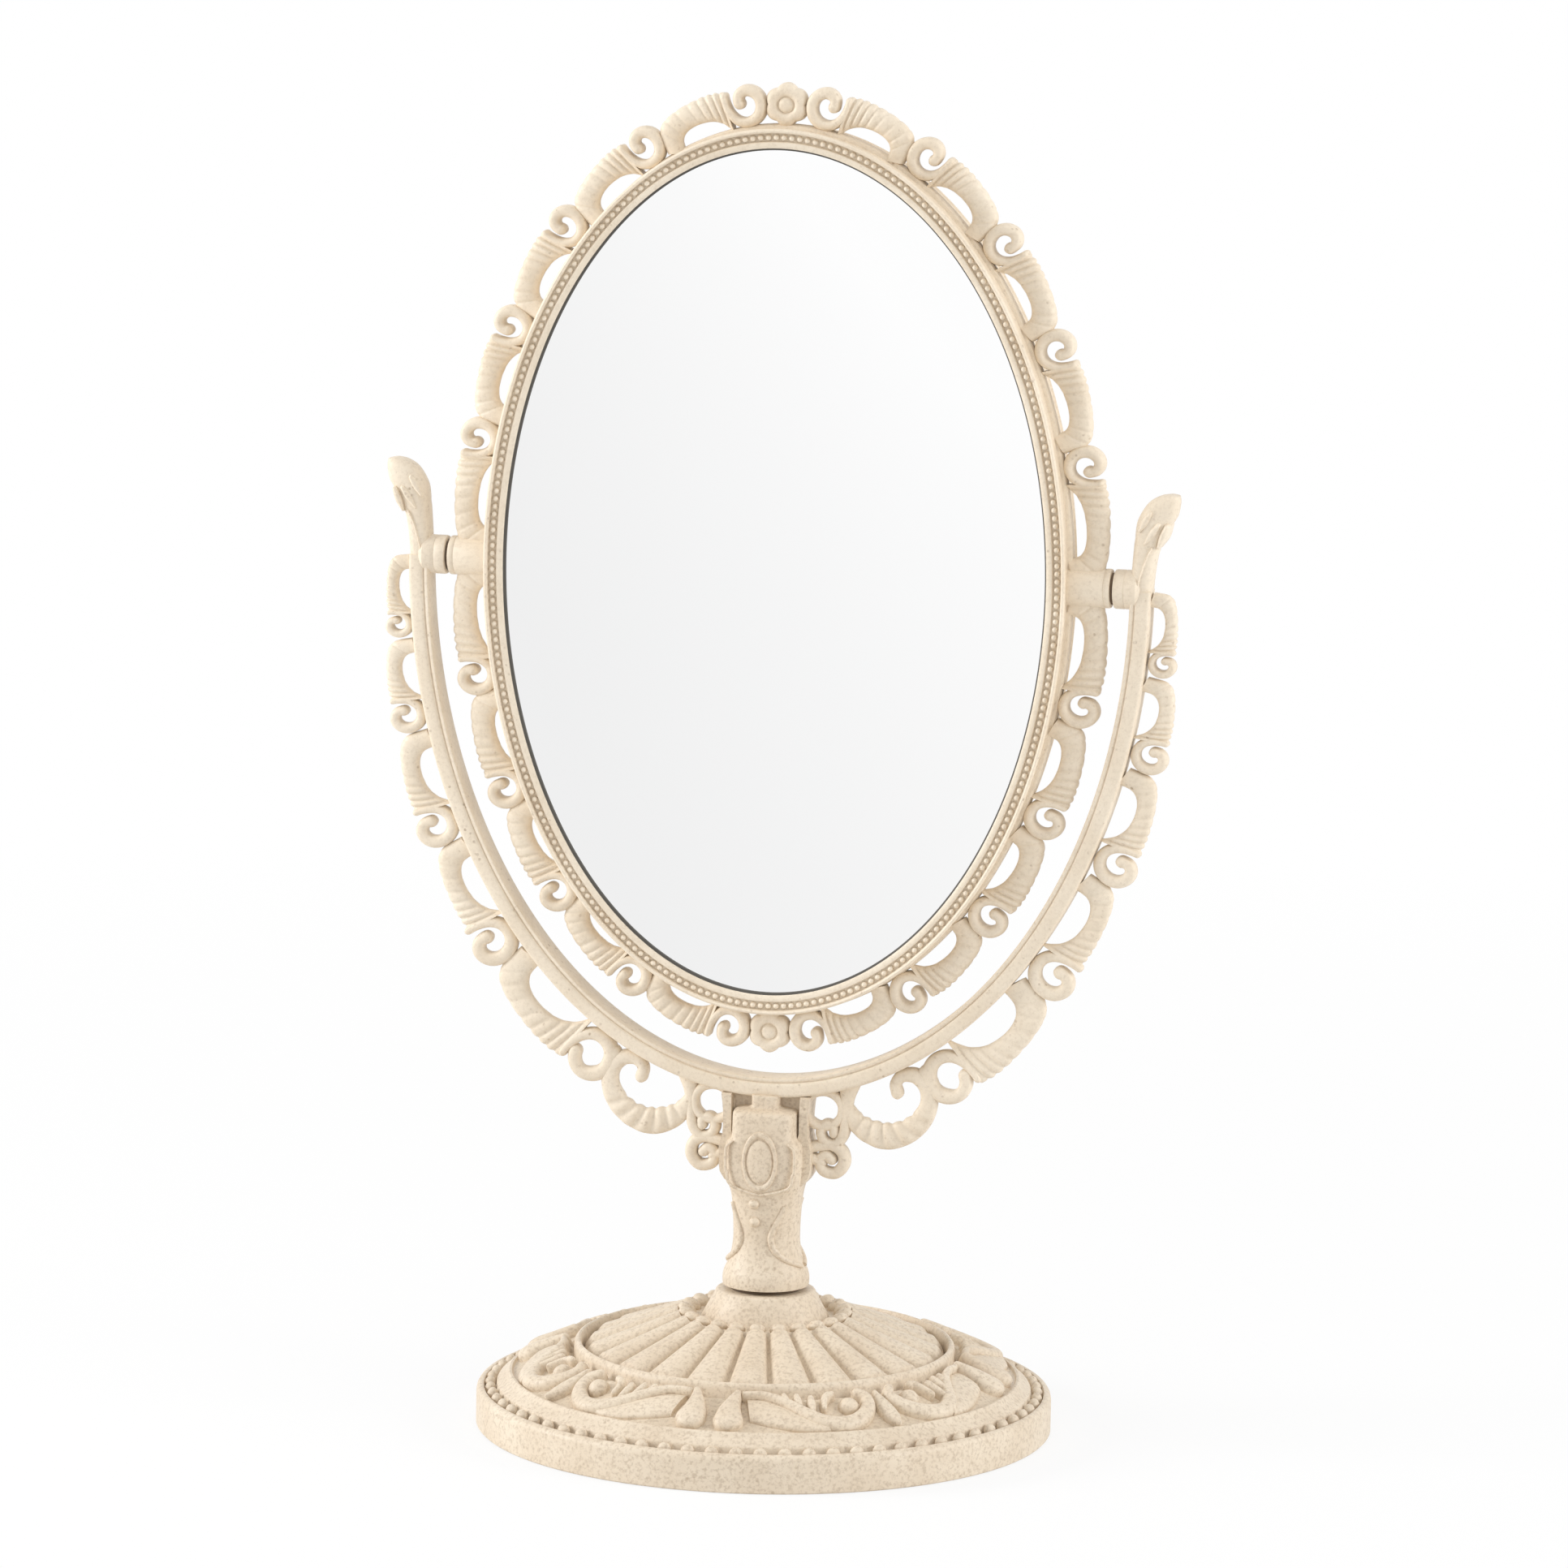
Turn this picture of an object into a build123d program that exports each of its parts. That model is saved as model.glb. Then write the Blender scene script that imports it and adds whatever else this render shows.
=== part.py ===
# Pedestal vanity mirror: an oval two-sided mirror turns in a scrolled yoke,
# on a column that swivels in a round weighted foot.
# Millimetres, +Z up, the front faces -Y, the origin is under the middle of the foot.

import math
import os

from build123d import *

os.makedirs("parts", exist_ok=True)

# Mirror head
opening_width = 130.6
opening_height = 199.8
rim_width = 4.3
rim_lip = 1.1
rim_fall = 1.8
head_depth = 16.0
glass_ledge = 0.6
glass_thickness = 2.0
glass_lap = 2.0
glass_clearance = 0.3
skirt_width = 0.8
skirt_depth = 3.0
skirt_clearance = 0.1
spacer_width = 9.0
spacer_bar = 12.0

# Openwork border of the mirror head
border_depth = 5.0
border_root = 0.7
border_sink = 1.0
border_units = 5
border_spread = 0.017
flower_out = 5.4
flower_radius = 3.3
flower_petals = 6
petal_radius = 1.6
first_scroll_run = 8.6
scroll_radius = 4.6
scroll_out = 5.1
leaf_height = 9.4
leaf_lens = 0.4
boss_lap = 2.1

# Shape of a scroll, as shares of its radius
scroll_stroke = 0.36
hook_place = 0.56
hook_length = 0.4
hook_width = 0.42

# Shape of a border leaf, as shares of its length and of its height
leaf_lean = 0.06
leaf_crest_place = 0.44
leaf_crest_rise = 0.97
leaf_bend_place = 0.8
leaf_bend_rise = 0.8
leaf_fall_place = 0.96
leaf_fall_rise = 0.52
lens_start_place = 0.05
lens_middle_place = 0.44
lens_end_place = 0.78

# Pivots
boss_radius = 4.6
boss_length = 9.6
pivot_gap = 1.0
pin_radius = 2.0
pin_running_gap = 0.05
bush_wall = 1.0
bush_length = 7.5
bush_end_gap = 0.5
washer_radius = 3.7
washer_thickness = 0.6
pin_cover = 1.2

# Yoke
arm_clearance = 4.7
bottom_clearance = 5.5
band_width = 4.8
band_depth = 7.5
finial_height = 21.8
finial_reach = 6.2
yoke_border_depth = 4.0
yoke_leaf_lens = 0.52

# Scrolls of the yoke from the bottom up: share of the arm's length, stand-off, radius, leaf height
yoke_scrolls = (
    (0.247, 6.9, 6.1, 13.0),
    (0.445, 6.1, 5.7, 10.4),
    (0.618, 5.7, 5.1, 10.0),
    (0.774, 4.8, 4.3, 8.5),
    (0.900, 3.7, 3.2, 6.5),
)

# Curls beside the column: share of the arm's length, stand-off, radius, angle of the curled end
bow = (0.157, 6.2, 10.2, -49)
upper_curl = (0.080, 10.1, 2.7, 0)
lower_curl = (0.074, 16.1, 3.8, 90)
link_width = 2.8
loop_link_place = 0.214
loop_link_rise = 5.0
column_link_place = 0.102

# Bud finial, as shares of its reach beyond the arm and of its height
bud_crown_place = 0.38
bud_tip_rise = 0.95
bud_lip_place = 0.9
bud_lip_rise = 0.82
bud_hollow_place = 0.6
bud_hollow_rise = 0.8
bud_waist_place = 0.4
bud_waist_rise = 0.7
bud_root_place = 0.1
bud_root_rise = 0.37
bud_brow_place = 0.75
bud_brow_rise = 0.86
bud_inner_place = 0.12
bud_inner_rise = 0.45

# Tang of the yoke
tang_width = 7.0
tang_depth = 5.0
tang_length = 18.5
tang_clearance = 0.15

# Column
stem_foot_height = 34.0
stem_top = 79.4
stem_foot_radius = 9.4
stem_flare_radius = 10.8
stem_flare_rise = 1.6
stem_sweep_radius = 8.8
stem_sweep_rise = 5.2
stem_waist_radius = 7.9
stem_waist_rise = 11.0
stem_body_radius = 8.7
stem_swell_radius = 8.2
cartouche_drop = 22.4
cartouche_depth = 17.8
cartouche_shoulder = 7.3
cartouche_foot = 8.0
cartouche_head_rise = 9.4
cartouche_curve_rise = 5.0
cartouche_ear = 10.6
ear_slope = 3.5
ear_top_rise = 2.0
rail_foot_rise = 5.0
rail_drop = 0.4
rail_depth = 8.0
rail_width = 19.0
neck_width = 9.6
neck_depth = 11.0
neck_clearance = 0.3
pocket_width = 2.2
pocket_depth = 2.4
medallion_drop = 14.1
medallion_half_width = 4.5
medallion_half_height = 7.4
medallion_rise = 0.9
medallion_line = 0.9
bead_radius = 1.0
bead_drops = (2.0, 6.4)
bead_rise = 0.3
bead_length = 2.0

# Swivel and its fixing
spigot_radius = 6.0
spigot_running_gap = 0.06
swivel_washer_radius = 8.4
swivel_washer_thickness = 0.4
swivel_gap = 0.35
stem_screw_radius = 2.0
stem_screw_length = 14.0
stem_screw_head_radius = 3.8
stem_screw_head_height = 2.4
retaining_washer_radius = 9.0
retaining_washer_thickness = 1.0
yoke_screw_radius = 1.2
yoke_screw_head_radius = 2.2
yoke_screw_head_height = 1.4
yoke_screw_reach = 6.5
yoke_screw_drop = 2.9
thread_gap = 0.03

# Foot
base_radius = 68.2
base_wall_height = 9.2
base_wall = 2.4
base_lift = 0.6
edge_round = 1.4
bead_ring_inset = 3.4
bead_groove = 3.0
bead_groove_depth = 0.7
ridge_inset = 7.8
ridge_rise = 0.7
ridge_width = 1.6
dome_inset = 22.8
dome_ring_rise = 10.2
dome_ring_width = 2.0
dome_edge_drop = 1.4
slope_step = 0.8
scallop_width = 5.4
dome_rise = 6.4
scallop_rise = 0.5
scallop_fall = 0.4
flute_count = 24
flute_groove = 0.8
flute_end_gap = 1.2
collar_radius = 15.4
collar_round = 3.2
hub_wall = 3.4
hub_lift = 8.6

# Foot cover, weight, feet
cover_thickness = 2.0
cover_inset = 0.8
cover_clearance = 0.3
cover_screw_count = 3
cover_screw_inset = 11.2
cover_screw_radius = 1.4
cover_screw_head_radius = 2.8
cover_screw_length = 7.0
post_radius = 3.8
pad_count = 4
pad_inset = 16.2
pad_radius = 5.0
pad_recess = 0.6
ballast_inner_radius = 22.0
ballast_inset = 19.2
ballast_thickness = 4.0

# Ovals of the mirror head, half sizes
opening_x = opening_width / 2
opening_z = opening_height / 2
rim_x = opening_x + rim_width
rim_z = opening_z + rim_width
glass_x = opening_x + glass_lap
glass_z = opening_z + glass_lap
pocket_x = glass_x + glass_clearance
pocket_z = glass_z + glass_clearance
skirt_x = pocket_x + skirt_width
skirt_z = pocket_z + skirt_width
spacer_x = pocket_x - glass_clearance
spacer_z = pocket_z - glass_clearance

# Depths in the mirror head, from its middle to each face
half_depth = head_depth / 2
ledge_face = half_depth - rim_fall
glass_face = ledge_face - glass_ledge
glass_back = glass_face - glass_thickness

# Yoke ovals, half sizes, clear of the border of the mirror head
yoke_in_x = rim_x + scroll_out + scroll_radius + arm_clearance
yoke_in_z = rim_z + flower_out + flower_radius + petal_radius + bottom_clearance
yoke_out_x = yoke_in_x + band_width
yoke_out_z = yoke_in_z + band_width

# Levels of the column, and of the pivots above it
collar_top = stem_foot_height - swivel_gap - swivel_washer_thickness
stem_waist_height = stem_foot_height + stem_waist_rise
cartouche_bottom = stem_top - cartouche_drop
medallion_height = stem_top - medallion_drop
yoke_bottom = stem_top + neck_clearance
tang_bottom = yoke_bottom - tang_length
yoke_screw_height = yoke_bottom - yoke_screw_drop
pivot_height = yoke_bottom + yoke_out_z

# Cover, pads and hub of the foot
cover_bottom = base_lift + cover_inset
cover_top = cover_bottom + cover_thickness
cover_radius = base_radius - base_wall - cover_clearance
cover_screw_circle = base_radius - cover_screw_inset
pad_circle = base_radius - pad_inset
pad_thickness = cover_bottom + pad_recess
ballast_outer_radius = base_radius - ballast_inset
hub_bottom = cover_top + hub_lift
spigot_bottom = hub_bottom - swivel_gap
bore_radius = spigot_radius + spigot_running_gap
hub_radius = bore_radius + hub_wall

# Rings of the foot, from its edge to its collar
rim_top_radius = base_radius - edge_round
bead_ring_radius = base_radius - bead_ring_inset
groove_out = bead_ring_radius + bead_groove / 2
groove_in = bead_ring_radius - bead_groove / 2
ridge_radius = base_radius - ridge_inset
ridge_out = ridge_radius + ridge_width / 2
ridge_in = ridge_radius - ridge_width / 2
dome_ring_radius = base_radius - dome_inset
dome_ring_height = base_wall_height + dome_ring_rise
slope_end = dome_ring_radius + dome_ring_width / 2
flute_start = dome_ring_radius - dome_ring_width / 2
flute_level = dome_ring_height - dome_edge_drop
slope_top = flute_level - slope_step
scallop_radius = collar_radius + scallop_width
scallop_height = dome_ring_height + dome_rise
flute_run = flute_start - scallop_radius
flute_rise = scallop_height - flute_level
flute_length = math.hypot(flute_run, flute_rise)
collar_base = scallop_height - scallop_fall
cavity_roof = collar_top - base_wall

# Pivot faces along X
frame_boss_face = rim_x + boss_length
yoke_boss_face = frame_boss_face + pivot_gap
bush_radius = pin_radius + pin_running_gap + bush_wall
bush_inner_end = frame_boss_face - bush_length
pin_inner_end = bush_inner_end + bush_end_gap
pin_outer_end = yoke_out_x - pin_cover

# Working planes: local Y of the head plane runs up, that of the hang plane down
head_plane = Plane(origin=(0, 0, pivot_height), x_dir=(1, 0, 0), z_dir=(0, -1, 0))
hang_plane = Plane(origin=(0, 0, pivot_height), x_dir=(1, 0, 0), z_dir=(0, 1, 0))
side_plane = Plane(origin=(0, 0, pivot_height), x_dir=(0, 1, 0), z_dir=(1, 0, 0))
yoke_screw_plane = Plane(origin=(0, neck_depth / 2, yoke_screw_height), z_dir=(0, 1, 0))
under_plane = Plane(origin=(0, 0, cover_bottom), x_dir=(1, 0, 0), z_dir=(0, 0, -1))


def oval_angle(half_width, half_height, run):
    """Angle from the top of an oval at which its edge has run the given length."""
    step = math.radians(0.05)
    angle = 0.0
    length = 0.0
    while length < run:
        length += step * math.hypot(half_width * math.cos(angle), half_height * math.sin(angle))
        angle += step
    return angle


def quarter_length(half_width, half_height):
    """Length of a quarter of an oval's edge."""
    steps = 1800
    step = math.pi / 2 / steps
    angles = [step * (i + 0.5) for i in range(steps)]
    return sum(step * math.hypot(half_width * math.cos(a), half_height * math.sin(a)) for a in angles)


def beside_oval(half_width, half_height, run, out):
    """Point that stands out from an oval's edge, after the given run from its top."""
    angle = oval_angle(half_width, half_height, run)
    across = math.sin(angle) / half_width
    up = math.cos(angle) / half_height
    slope = math.hypot(across, up)
    x = half_width * math.sin(angle) + out * across / slope
    y = half_height * math.cos(angle) + out * up / slope
    return (x, y)


def heading(start, end):
    """Direction from one point to another, in degrees."""
    return math.degrees(math.atan2(end[1] - start[1], end[0] - start[0]))


def bar(start, end, width):
    """Straight bar with round ends between two points."""
    middle = ((start[0] + end[0]) / 2, (start[1] + end[1]) / 2)
    with BuildSketch() as strip:
        with Locations(middle):
            SlotCenterToCenter(math.dist(start, end), width, rotation=heading(start, end))
    return strip.sketch


def scroll(centre, radius, hook_angle):
    """Ring of a scroll with its curled end, which reaches in from one side."""
    with BuildSketch() as curl:
        with Locations(centre):
            Circle(radius)
            Circle(radius * (1 - scroll_stroke), mode=Mode.SUBTRACT)
            with PolarLocations(radius * hook_place, 1, start_angle=hook_angle):
                SlotCenterToCenter(radius * hook_length, radius * hook_width)
    return curl.sketch


def leaf(half_width, half_height, start, length, height, lens):
    """Leaf that leaves an oval's edge, runs beside it and bends back down to it."""
    sink = -border_sink / 2

    def point(place, rise):
        return beside_oval(half_width, half_height, start + place * length, rise)

    root = point(0, sink)
    lens_start = point(lens_start_place, sink)
    lens_end = point(lens_end_place, sink)
    tail = point(1, sink)
    bend = point(leaf_bend_place, leaf_bend_rise * height)
    brow = point(leaf_lean, height)
    with BuildSketch() as blade:
        with BuildLine():
            ThreePointArc(lens_start, point(lens_middle_place, lens * height), lens_end)
            Line(lens_end, tail)
            ThreePointArc(tail, point(leaf_fall_place, leaf_fall_rise * height), bend)
            ThreePointArc(bend, point(leaf_crest_place, leaf_crest_rise * height), brow)
            Line(brow, root)
            Line(root, lens_start)
        make_face()
    return blade.sketch


def border_unit(half_width, half_height, run, following, radius, out, height, lens):
    """One scroll of a border and the leaf that follows it, up to the next scroll."""
    centre = beside_oval(half_width, half_height, run, out)
    ahead = beside_oval(half_width, half_height, run + radius, out)
    start = run + radius * (1 - scroll_stroke)
    blade = leaf(half_width, half_height, start, following - radius - start, height, lens)
    return [scroll(centre, radius, heading(centre, ahead)), blade]


# Mirror frame: drum with the front rim, scrolled border and two pivot bosses
rim_quarter = quarter_length(rim_x, rim_z)
border_pitch = (rim_quarter - first_scroll_run) / border_units
border_runs = []
for index in range(border_units):
    spread = 1 + border_spread * (index - border_units)
    border_runs.append(first_scroll_run + index * border_pitch * spread)
border_runs.append(rim_quarter + boss_lap)
with BuildPart() as mirror_frame:
    with BuildSketch(head_plane.offset(half_depth)):
        Ellipse(rim_x, rim_z)
    extrude(amount=-half_depth - glass_face)
    for side in (1, -1):
        with BuildSketch(side_plane.offset(side * frame_boss_face)):
            Circle(boss_radius)
        extrude(amount=-side * (frame_boss_face - rim_x + border_sink))
        with BuildSketch(side_plane.offset(side * frame_boss_face)):
            Circle(bush_radius)
        extrude(amount=-side * bush_length, mode=Mode.SUBTRACT)
    with BuildSketch(head_plane.offset(glass_face)):
        Ellipse(pocket_x, pocket_z)
    extrude(amount=-2 * glass_face, mode=Mode.SUBTRACT)
    with BuildSketch(head_plane.offset(skirt_depth - glass_face)):
        Ellipse(skirt_x, skirt_z)
    extrude(amount=-skirt_depth, mode=Mode.SUBTRACT)
    with BuildSketch(head_plane.offset(ledge_face)):
        Ellipse(opening_x, opening_z)
    extrude(amount=-glass_ledge, mode=Mode.SUBTRACT)
    with BuildSketch(head_plane.offset(ledge_face)):
        Ellipse(opening_x, opening_z)
    with BuildSketch(head_plane.offset(half_depth)):
        Ellipse(rim_x - rim_lip, rim_z - rim_lip)
    loft(mode=Mode.SUBTRACT)
    with BuildSketch(head_plane.offset(border_depth / 2)):
        units = []
        for run, next_run in zip(border_runs, border_runs[1:]):
            units += border_unit(
                rim_x, rim_z, run, next_run, scroll_radius, scroll_out, leaf_height, leaf_lens
            )
        add(units)
        mirror(about=Plane.XZ)
        mirror(about=Plane.YZ)
        Ellipse(rim_x + border_root, rim_z + border_root)
        with Locations((0, rim_z + flower_out), (0, -rim_z - flower_out)):
            Circle(flower_radius + petal_radius / 2)
            with PolarLocations(flower_radius, flower_petals, start_angle=90):
                Circle(petal_radius)
        Ellipse(rim_x - border_sink / 2, rim_z - border_sink / 2, mode=Mode.SUBTRACT)
    extrude(amount=-border_depth)
mirror_frame.part.label = "mirror_frame"
export_step(mirror_frame.part, "parts/mirror_frame.step")

# Rear bezel: rim of the second side, with a skirt inside the drum
with BuildPart() as rear_bezel:
    with BuildSketch(head_plane.offset(-half_depth)):
        Ellipse(rim_x, rim_z)
    extrude(amount=rim_fall + glass_ledge)
    with BuildSketch(head_plane.offset(-glass_face)):
        Ellipse(skirt_x - skirt_clearance, skirt_z - skirt_clearance)
        Ellipse(pocket_x, pocket_z, mode=Mode.SUBTRACT)
    extrude(amount=skirt_depth - skirt_clearance)
    with BuildSketch(head_plane.offset(-glass_face)):
        Ellipse(opening_x, opening_z)
    extrude(amount=-glass_ledge, mode=Mode.SUBTRACT)
    with BuildSketch(head_plane.offset(-ledge_face)):
        Ellipse(opening_x, opening_z)
    with BuildSketch(head_plane.offset(-half_depth)):
        Ellipse(rim_x - rim_lip, rim_z - rim_lip)
    loft(mode=Mode.SUBTRACT)
rear_bezel.part.label = "rear_bezel"
export_step(rear_bezel.part, "parts/rear_bezel.step")

# The two glasses
with BuildPart() as front_mirror:
    with BuildSketch(head_plane.offset(glass_face)):
        Ellipse(glass_x, glass_z)
    extrude(amount=-glass_thickness)
front_mirror.part.label = "front_mirror"
export_step(front_mirror.part, "parts/front_mirror.step")

with BuildPart() as rear_mirror:
    with BuildSketch(head_plane.offset(-glass_face)):
        Ellipse(glass_x, glass_z)
    extrude(amount=glass_thickness)
rear_mirror.part.label = "rear_mirror"
export_step(rear_mirror.part, "parts/rear_mirror.step")

# Spacer between the glasses: oval ring with a cross of bars
with BuildPart() as mirror_spacer:
    with BuildSketch(head_plane.offset(glass_back)):
        Ellipse(spacer_x, spacer_z)
        Ellipse(spacer_x - spacer_width, spacer_z - spacer_width, mode=Mode.SUBTRACT)
        Rectangle(2 * spacer_x - spacer_width, spacer_bar)
        Rectangle(spacer_bar, 2 * spacer_z - spacer_width)
    extrude(amount=-2 * glass_back)
mirror_spacer.part.label = "mirror_spacer"
export_step(mirror_spacer.part, "parts/mirror_spacer.step")

# Pivot bushes, friction washers and pins, one of each on either side
for side, name in ((1, "right"), (-1, "left")):
    with BuildPart() as bush:
        with BuildSketch(side_plane.offset(side * frame_boss_face)):
            Circle(bush_radius)
            Circle(pin_radius + pin_running_gap, mode=Mode.SUBTRACT)
        extrude(amount=-side * bush_length)
    bush.part.label = "pivot_bush_" + name
    export_step(bush.part, "parts/pivot_bush_" + name + ".step")

    with BuildPart() as washer:
        with BuildSketch(side_plane.offset(side * frame_boss_face)):
            Circle(washer_radius)
            Circle(pin_radius + pin_running_gap, mode=Mode.SUBTRACT)
        extrude(amount=side * washer_thickness)
    washer.part.label = "friction_washer_" + name
    export_step(washer.part, "parts/friction_washer_" + name + ".step")

    with BuildPart() as pin:
        with BuildSketch(side_plane.offset(side * pin_inner_end)):
            Circle(pin_radius)
        extrude(amount=side * (pin_outer_end - pin_inner_end))
    pin.part.label = "pivot_pin_" + name
    export_step(pin.part, "parts/pivot_pin_" + name + ".step")


def beside_arm(place, out):
    """Point that stands out from the yoke's arm, after a share of its length."""
    return beside_oval(yoke_out_x, yoke_out_z, place * arm_length, out)


# Yoke: band, finials, scrolled border and tang, with a boss for each pivot pin
arm_length = quarter_length(yoke_out_x, yoke_out_z)
with BuildPart() as yoke:
    with BuildSketch(hang_plane.offset(band_depth / 2)):
        Ellipse(yoke_out_x, yoke_out_z)
        Ellipse(yoke_in_x, yoke_in_z, mode=Mode.SUBTRACT)
        with Locations((0, yoke_out_z / 2)):
            Rectangle(2 * yoke_out_x, yoke_out_z, mode=Mode.INTERSECT)
        with BuildLine():
            crown = (yoke_out_x + bud_crown_place * finial_reach, -finial_height)
            tip = (yoke_out_x + finial_reach, -bud_tip_rise * finial_height)
            lip = (yoke_out_x + bud_lip_place * finial_reach, -bud_lip_rise * finial_height)
            hollow = (yoke_out_x + bud_hollow_place * finial_reach, -bud_hollow_rise * finial_height)
            waist = (yoke_out_x + bud_waist_place * finial_reach, -bud_waist_rise * finial_height)
            root = (yoke_out_x + bud_root_place * finial_reach, -bud_root_rise * finial_height)
            brow = (yoke_in_x + bud_brow_place * band_width, -bud_brow_rise * finial_height)
            inner = (yoke_in_x + bud_inner_place * band_width, -bud_inner_rise * finial_height)
            ThreePointArc((yoke_in_x, 0), inner, brow)
            ThreePointArc(brow, crown, tip)
            Line(tip, lip)
            ThreePointArc(lip, hollow, waist)
            ThreePointArc(waist, root, (yoke_out_x, 0))
            Line((yoke_out_x, 0), (yoke_in_x, 0))
        make_face()
        mirror(about=Plane.YZ)
    extrude(amount=-band_depth)
    with BuildSketch(hang_plane.offset(yoke_border_depth / 2)):
        shapes = []
        ends = [place for place, _, _, _ in yoke_scrolls[1:]] + [1]
        for (place, out, radius, height), end in zip(yoke_scrolls, ends):
            run = place * arm_length
            next_run = end * arm_length
            shapes += border_unit(yoke_out_x, yoke_out_z, run, next_run, radius, out, height, yoke_leaf_lens)
        for place, out, radius, hook_angle in (bow, upper_curl, lower_curl):
            shapes.append(scroll(beside_arm(place, out), radius, hook_angle))
        curl_centre = beside_arm(upper_curl[0], upper_curl[1])
        shapes.append(bar(beside_arm(column_link_place, 0), curl_centre, link_width))
        loop_link_end = beside_arm(loop_link_place, loop_link_rise)
        shapes.append(bar(beside_arm(loop_link_place, 0), loop_link_end, link_width))
        curl_x, curl_y = beside_arm(lower_curl[0], lower_curl[1])
        bracket_start = (cartouche_ear + neck_clearance + link_width / 2, curl_y)
        bracket_end = (curl_x - lower_curl[2] + link_width / 2, curl_y)
        shapes.append(bar(bracket_start, bracket_end, link_width))
        add(shapes)
        mirror(about=Plane.YZ)
    extrude(amount=-yoke_border_depth)
    with BuildSketch(Plane.XY.offset(tang_bottom)):
        Rectangle(tang_width, tang_depth)
    extrude(amount=tang_length + band_width / 2)
    for side in (1, -1):
        with BuildSketch(side_plane.offset(side * yoke_boss_face)):
            Circle(boss_radius)
        extrude(amount=side * (yoke_in_x + band_width / 2 - yoke_boss_face))
        with BuildSketch(side_plane.offset(side * yoke_boss_face)):
            Circle(pin_radius)
        extrude(amount=side * (pin_outer_end - yoke_boss_face), mode=Mode.SUBTRACT)
    with BuildSketch(yoke_screw_plane):
        Circle(yoke_screw_radius + thread_gap)
    extrude(amount=-yoke_screw_head_height - yoke_screw_reach, mode=Mode.SUBTRACT)
yoke.part.label = "yoke"
export_step(yoke.part, "parts/yoke.step")

# Column: turned body on a spigot, cartouche on side rails, neck with a slot for the tang
with BuildPart() as stem:
    with BuildSketch(Plane.XZ):
        with BuildLine():
            flare = (stem_flare_radius, stem_foot_height + stem_flare_rise)
            sweep = (stem_sweep_radius, stem_foot_height + stem_sweep_rise)
            waist = (stem_waist_radius, stem_waist_height)
            swell = (stem_swell_radius, (stem_waist_height + cartouche_bottom) / 2)
            shoulder = (stem_body_radius, cartouche_bottom)
            Line((0, stem_foot_height), (stem_foot_radius, stem_foot_height))
            Line((stem_foot_radius, stem_foot_height), flare)
            ThreePointArc(flare, sweep, waist)
            ThreePointArc(waist, swell, shoulder)
            Polyline(
                shoulder,
                (stem_body_radius, cartouche_bottom + ear_slope),
                (0, cartouche_bottom + ear_slope),
                (0, stem_foot_height),
            )
        make_face()
    revolve(axis=Axis.Z)
    with BuildSketch(Plane.XZ):
        with BuildLine():
            Polyline(
                (0, cartouche_bottom),
                (stem_body_radius, cartouche_bottom),
                (cartouche_ear, cartouche_bottom + ear_slope),
                (cartouche_ear, medallion_height + ear_top_rise),
                (rail_width / 2, medallion_height + rail_foot_rise),
                (rail_width / 2, stem_top - rail_drop),
                (0, stem_top - rail_drop),
                close=True,
            )
        make_face()
        mirror(about=Plane.YZ)
    extrude(amount=rail_depth / 2, both=True)
    with BuildSketch(Plane.XZ):
        with BuildLine():
            foot = (cartouche_foot, cartouche_bottom)
            side_point = (stem_body_radius, medallion_height)
            curve = (cartouche_shoulder, medallion_height + cartouche_curve_rise)
            corner = (cartouche_shoulder, medallion_height + cartouche_head_rise)
            Line((0, cartouche_bottom), foot)
            Line(foot, side_point)
            Polyline(side_point, curve, corner, (0, corner[1]), (0, cartouche_bottom))
        make_face()
        mirror(about=Plane.YZ)
    extrude(amount=cartouche_depth / 2, both=True)
    with BuildSketch(Plane.XY.offset(medallion_height)):
        Rectangle(neck_width, neck_depth)
    extrude(amount=stem_top - medallion_height)
    pocket_height = stem_top - medallion_height - cartouche_head_rise
    pocket_place = (neck_width + pocket_width) / 2
    for side in (1, -1):
        with BuildSketch(Plane.XZ.offset(side * rail_depth / 2)):
            with Locations((pocket_place, stem_top), (-pocket_place, stem_top)):
                Rectangle(pocket_width, 2 * pocket_height)
        extrude(amount=-side * pocket_depth, mode=Mode.SUBTRACT)
        with BuildSketch(Plane.XZ.offset(side * cartouche_depth / 2)):
            with Locations((0, medallion_height)):
                Ellipse(medallion_half_width, medallion_half_height)
                Ellipse(
                    medallion_half_width - medallion_line,
                    medallion_half_height - medallion_line,
                    mode=Mode.SUBTRACT,
                )
        extrude(amount=side * medallion_rise)
        with BuildSketch(Plane.XZ.offset(side * (stem_body_radius + bead_rise))):
            with Locations(*[(0, cartouche_bottom - drop) for drop in bead_drops]):
                Circle(bead_radius)
        extrude(amount=-side * bead_length)
    with BuildSketch(Plane.XY.offset(spigot_bottom)):
        Circle(spigot_radius)
    extrude(amount=stem_foot_height - spigot_bottom)
    with BuildSketch(Plane.XY.offset(tang_bottom - tang_clearance)):
        Rectangle(tang_width + 2 * tang_clearance, tang_depth + 2 * tang_clearance)
    extrude(amount=tang_length + band_width, mode=Mode.SUBTRACT)
    with BuildSketch(Plane.XY.offset(spigot_bottom)):
        Circle(stem_screw_radius + thread_gap)
    extrude(amount=stem_screw_length, mode=Mode.SUBTRACT)
    with BuildSketch(yoke_screw_plane):
        Circle(yoke_screw_radius + thread_gap)
    extrude(amount=-neck_depth / 2, mode=Mode.SUBTRACT)
    with BuildSketch(yoke_screw_plane):
        Circle(yoke_screw_head_radius + thread_gap)
    extrude(amount=-yoke_screw_head_height, mode=Mode.SUBTRACT)
stem.part.label = "stem"
export_step(stem.part, "parts/stem.step")

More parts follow.
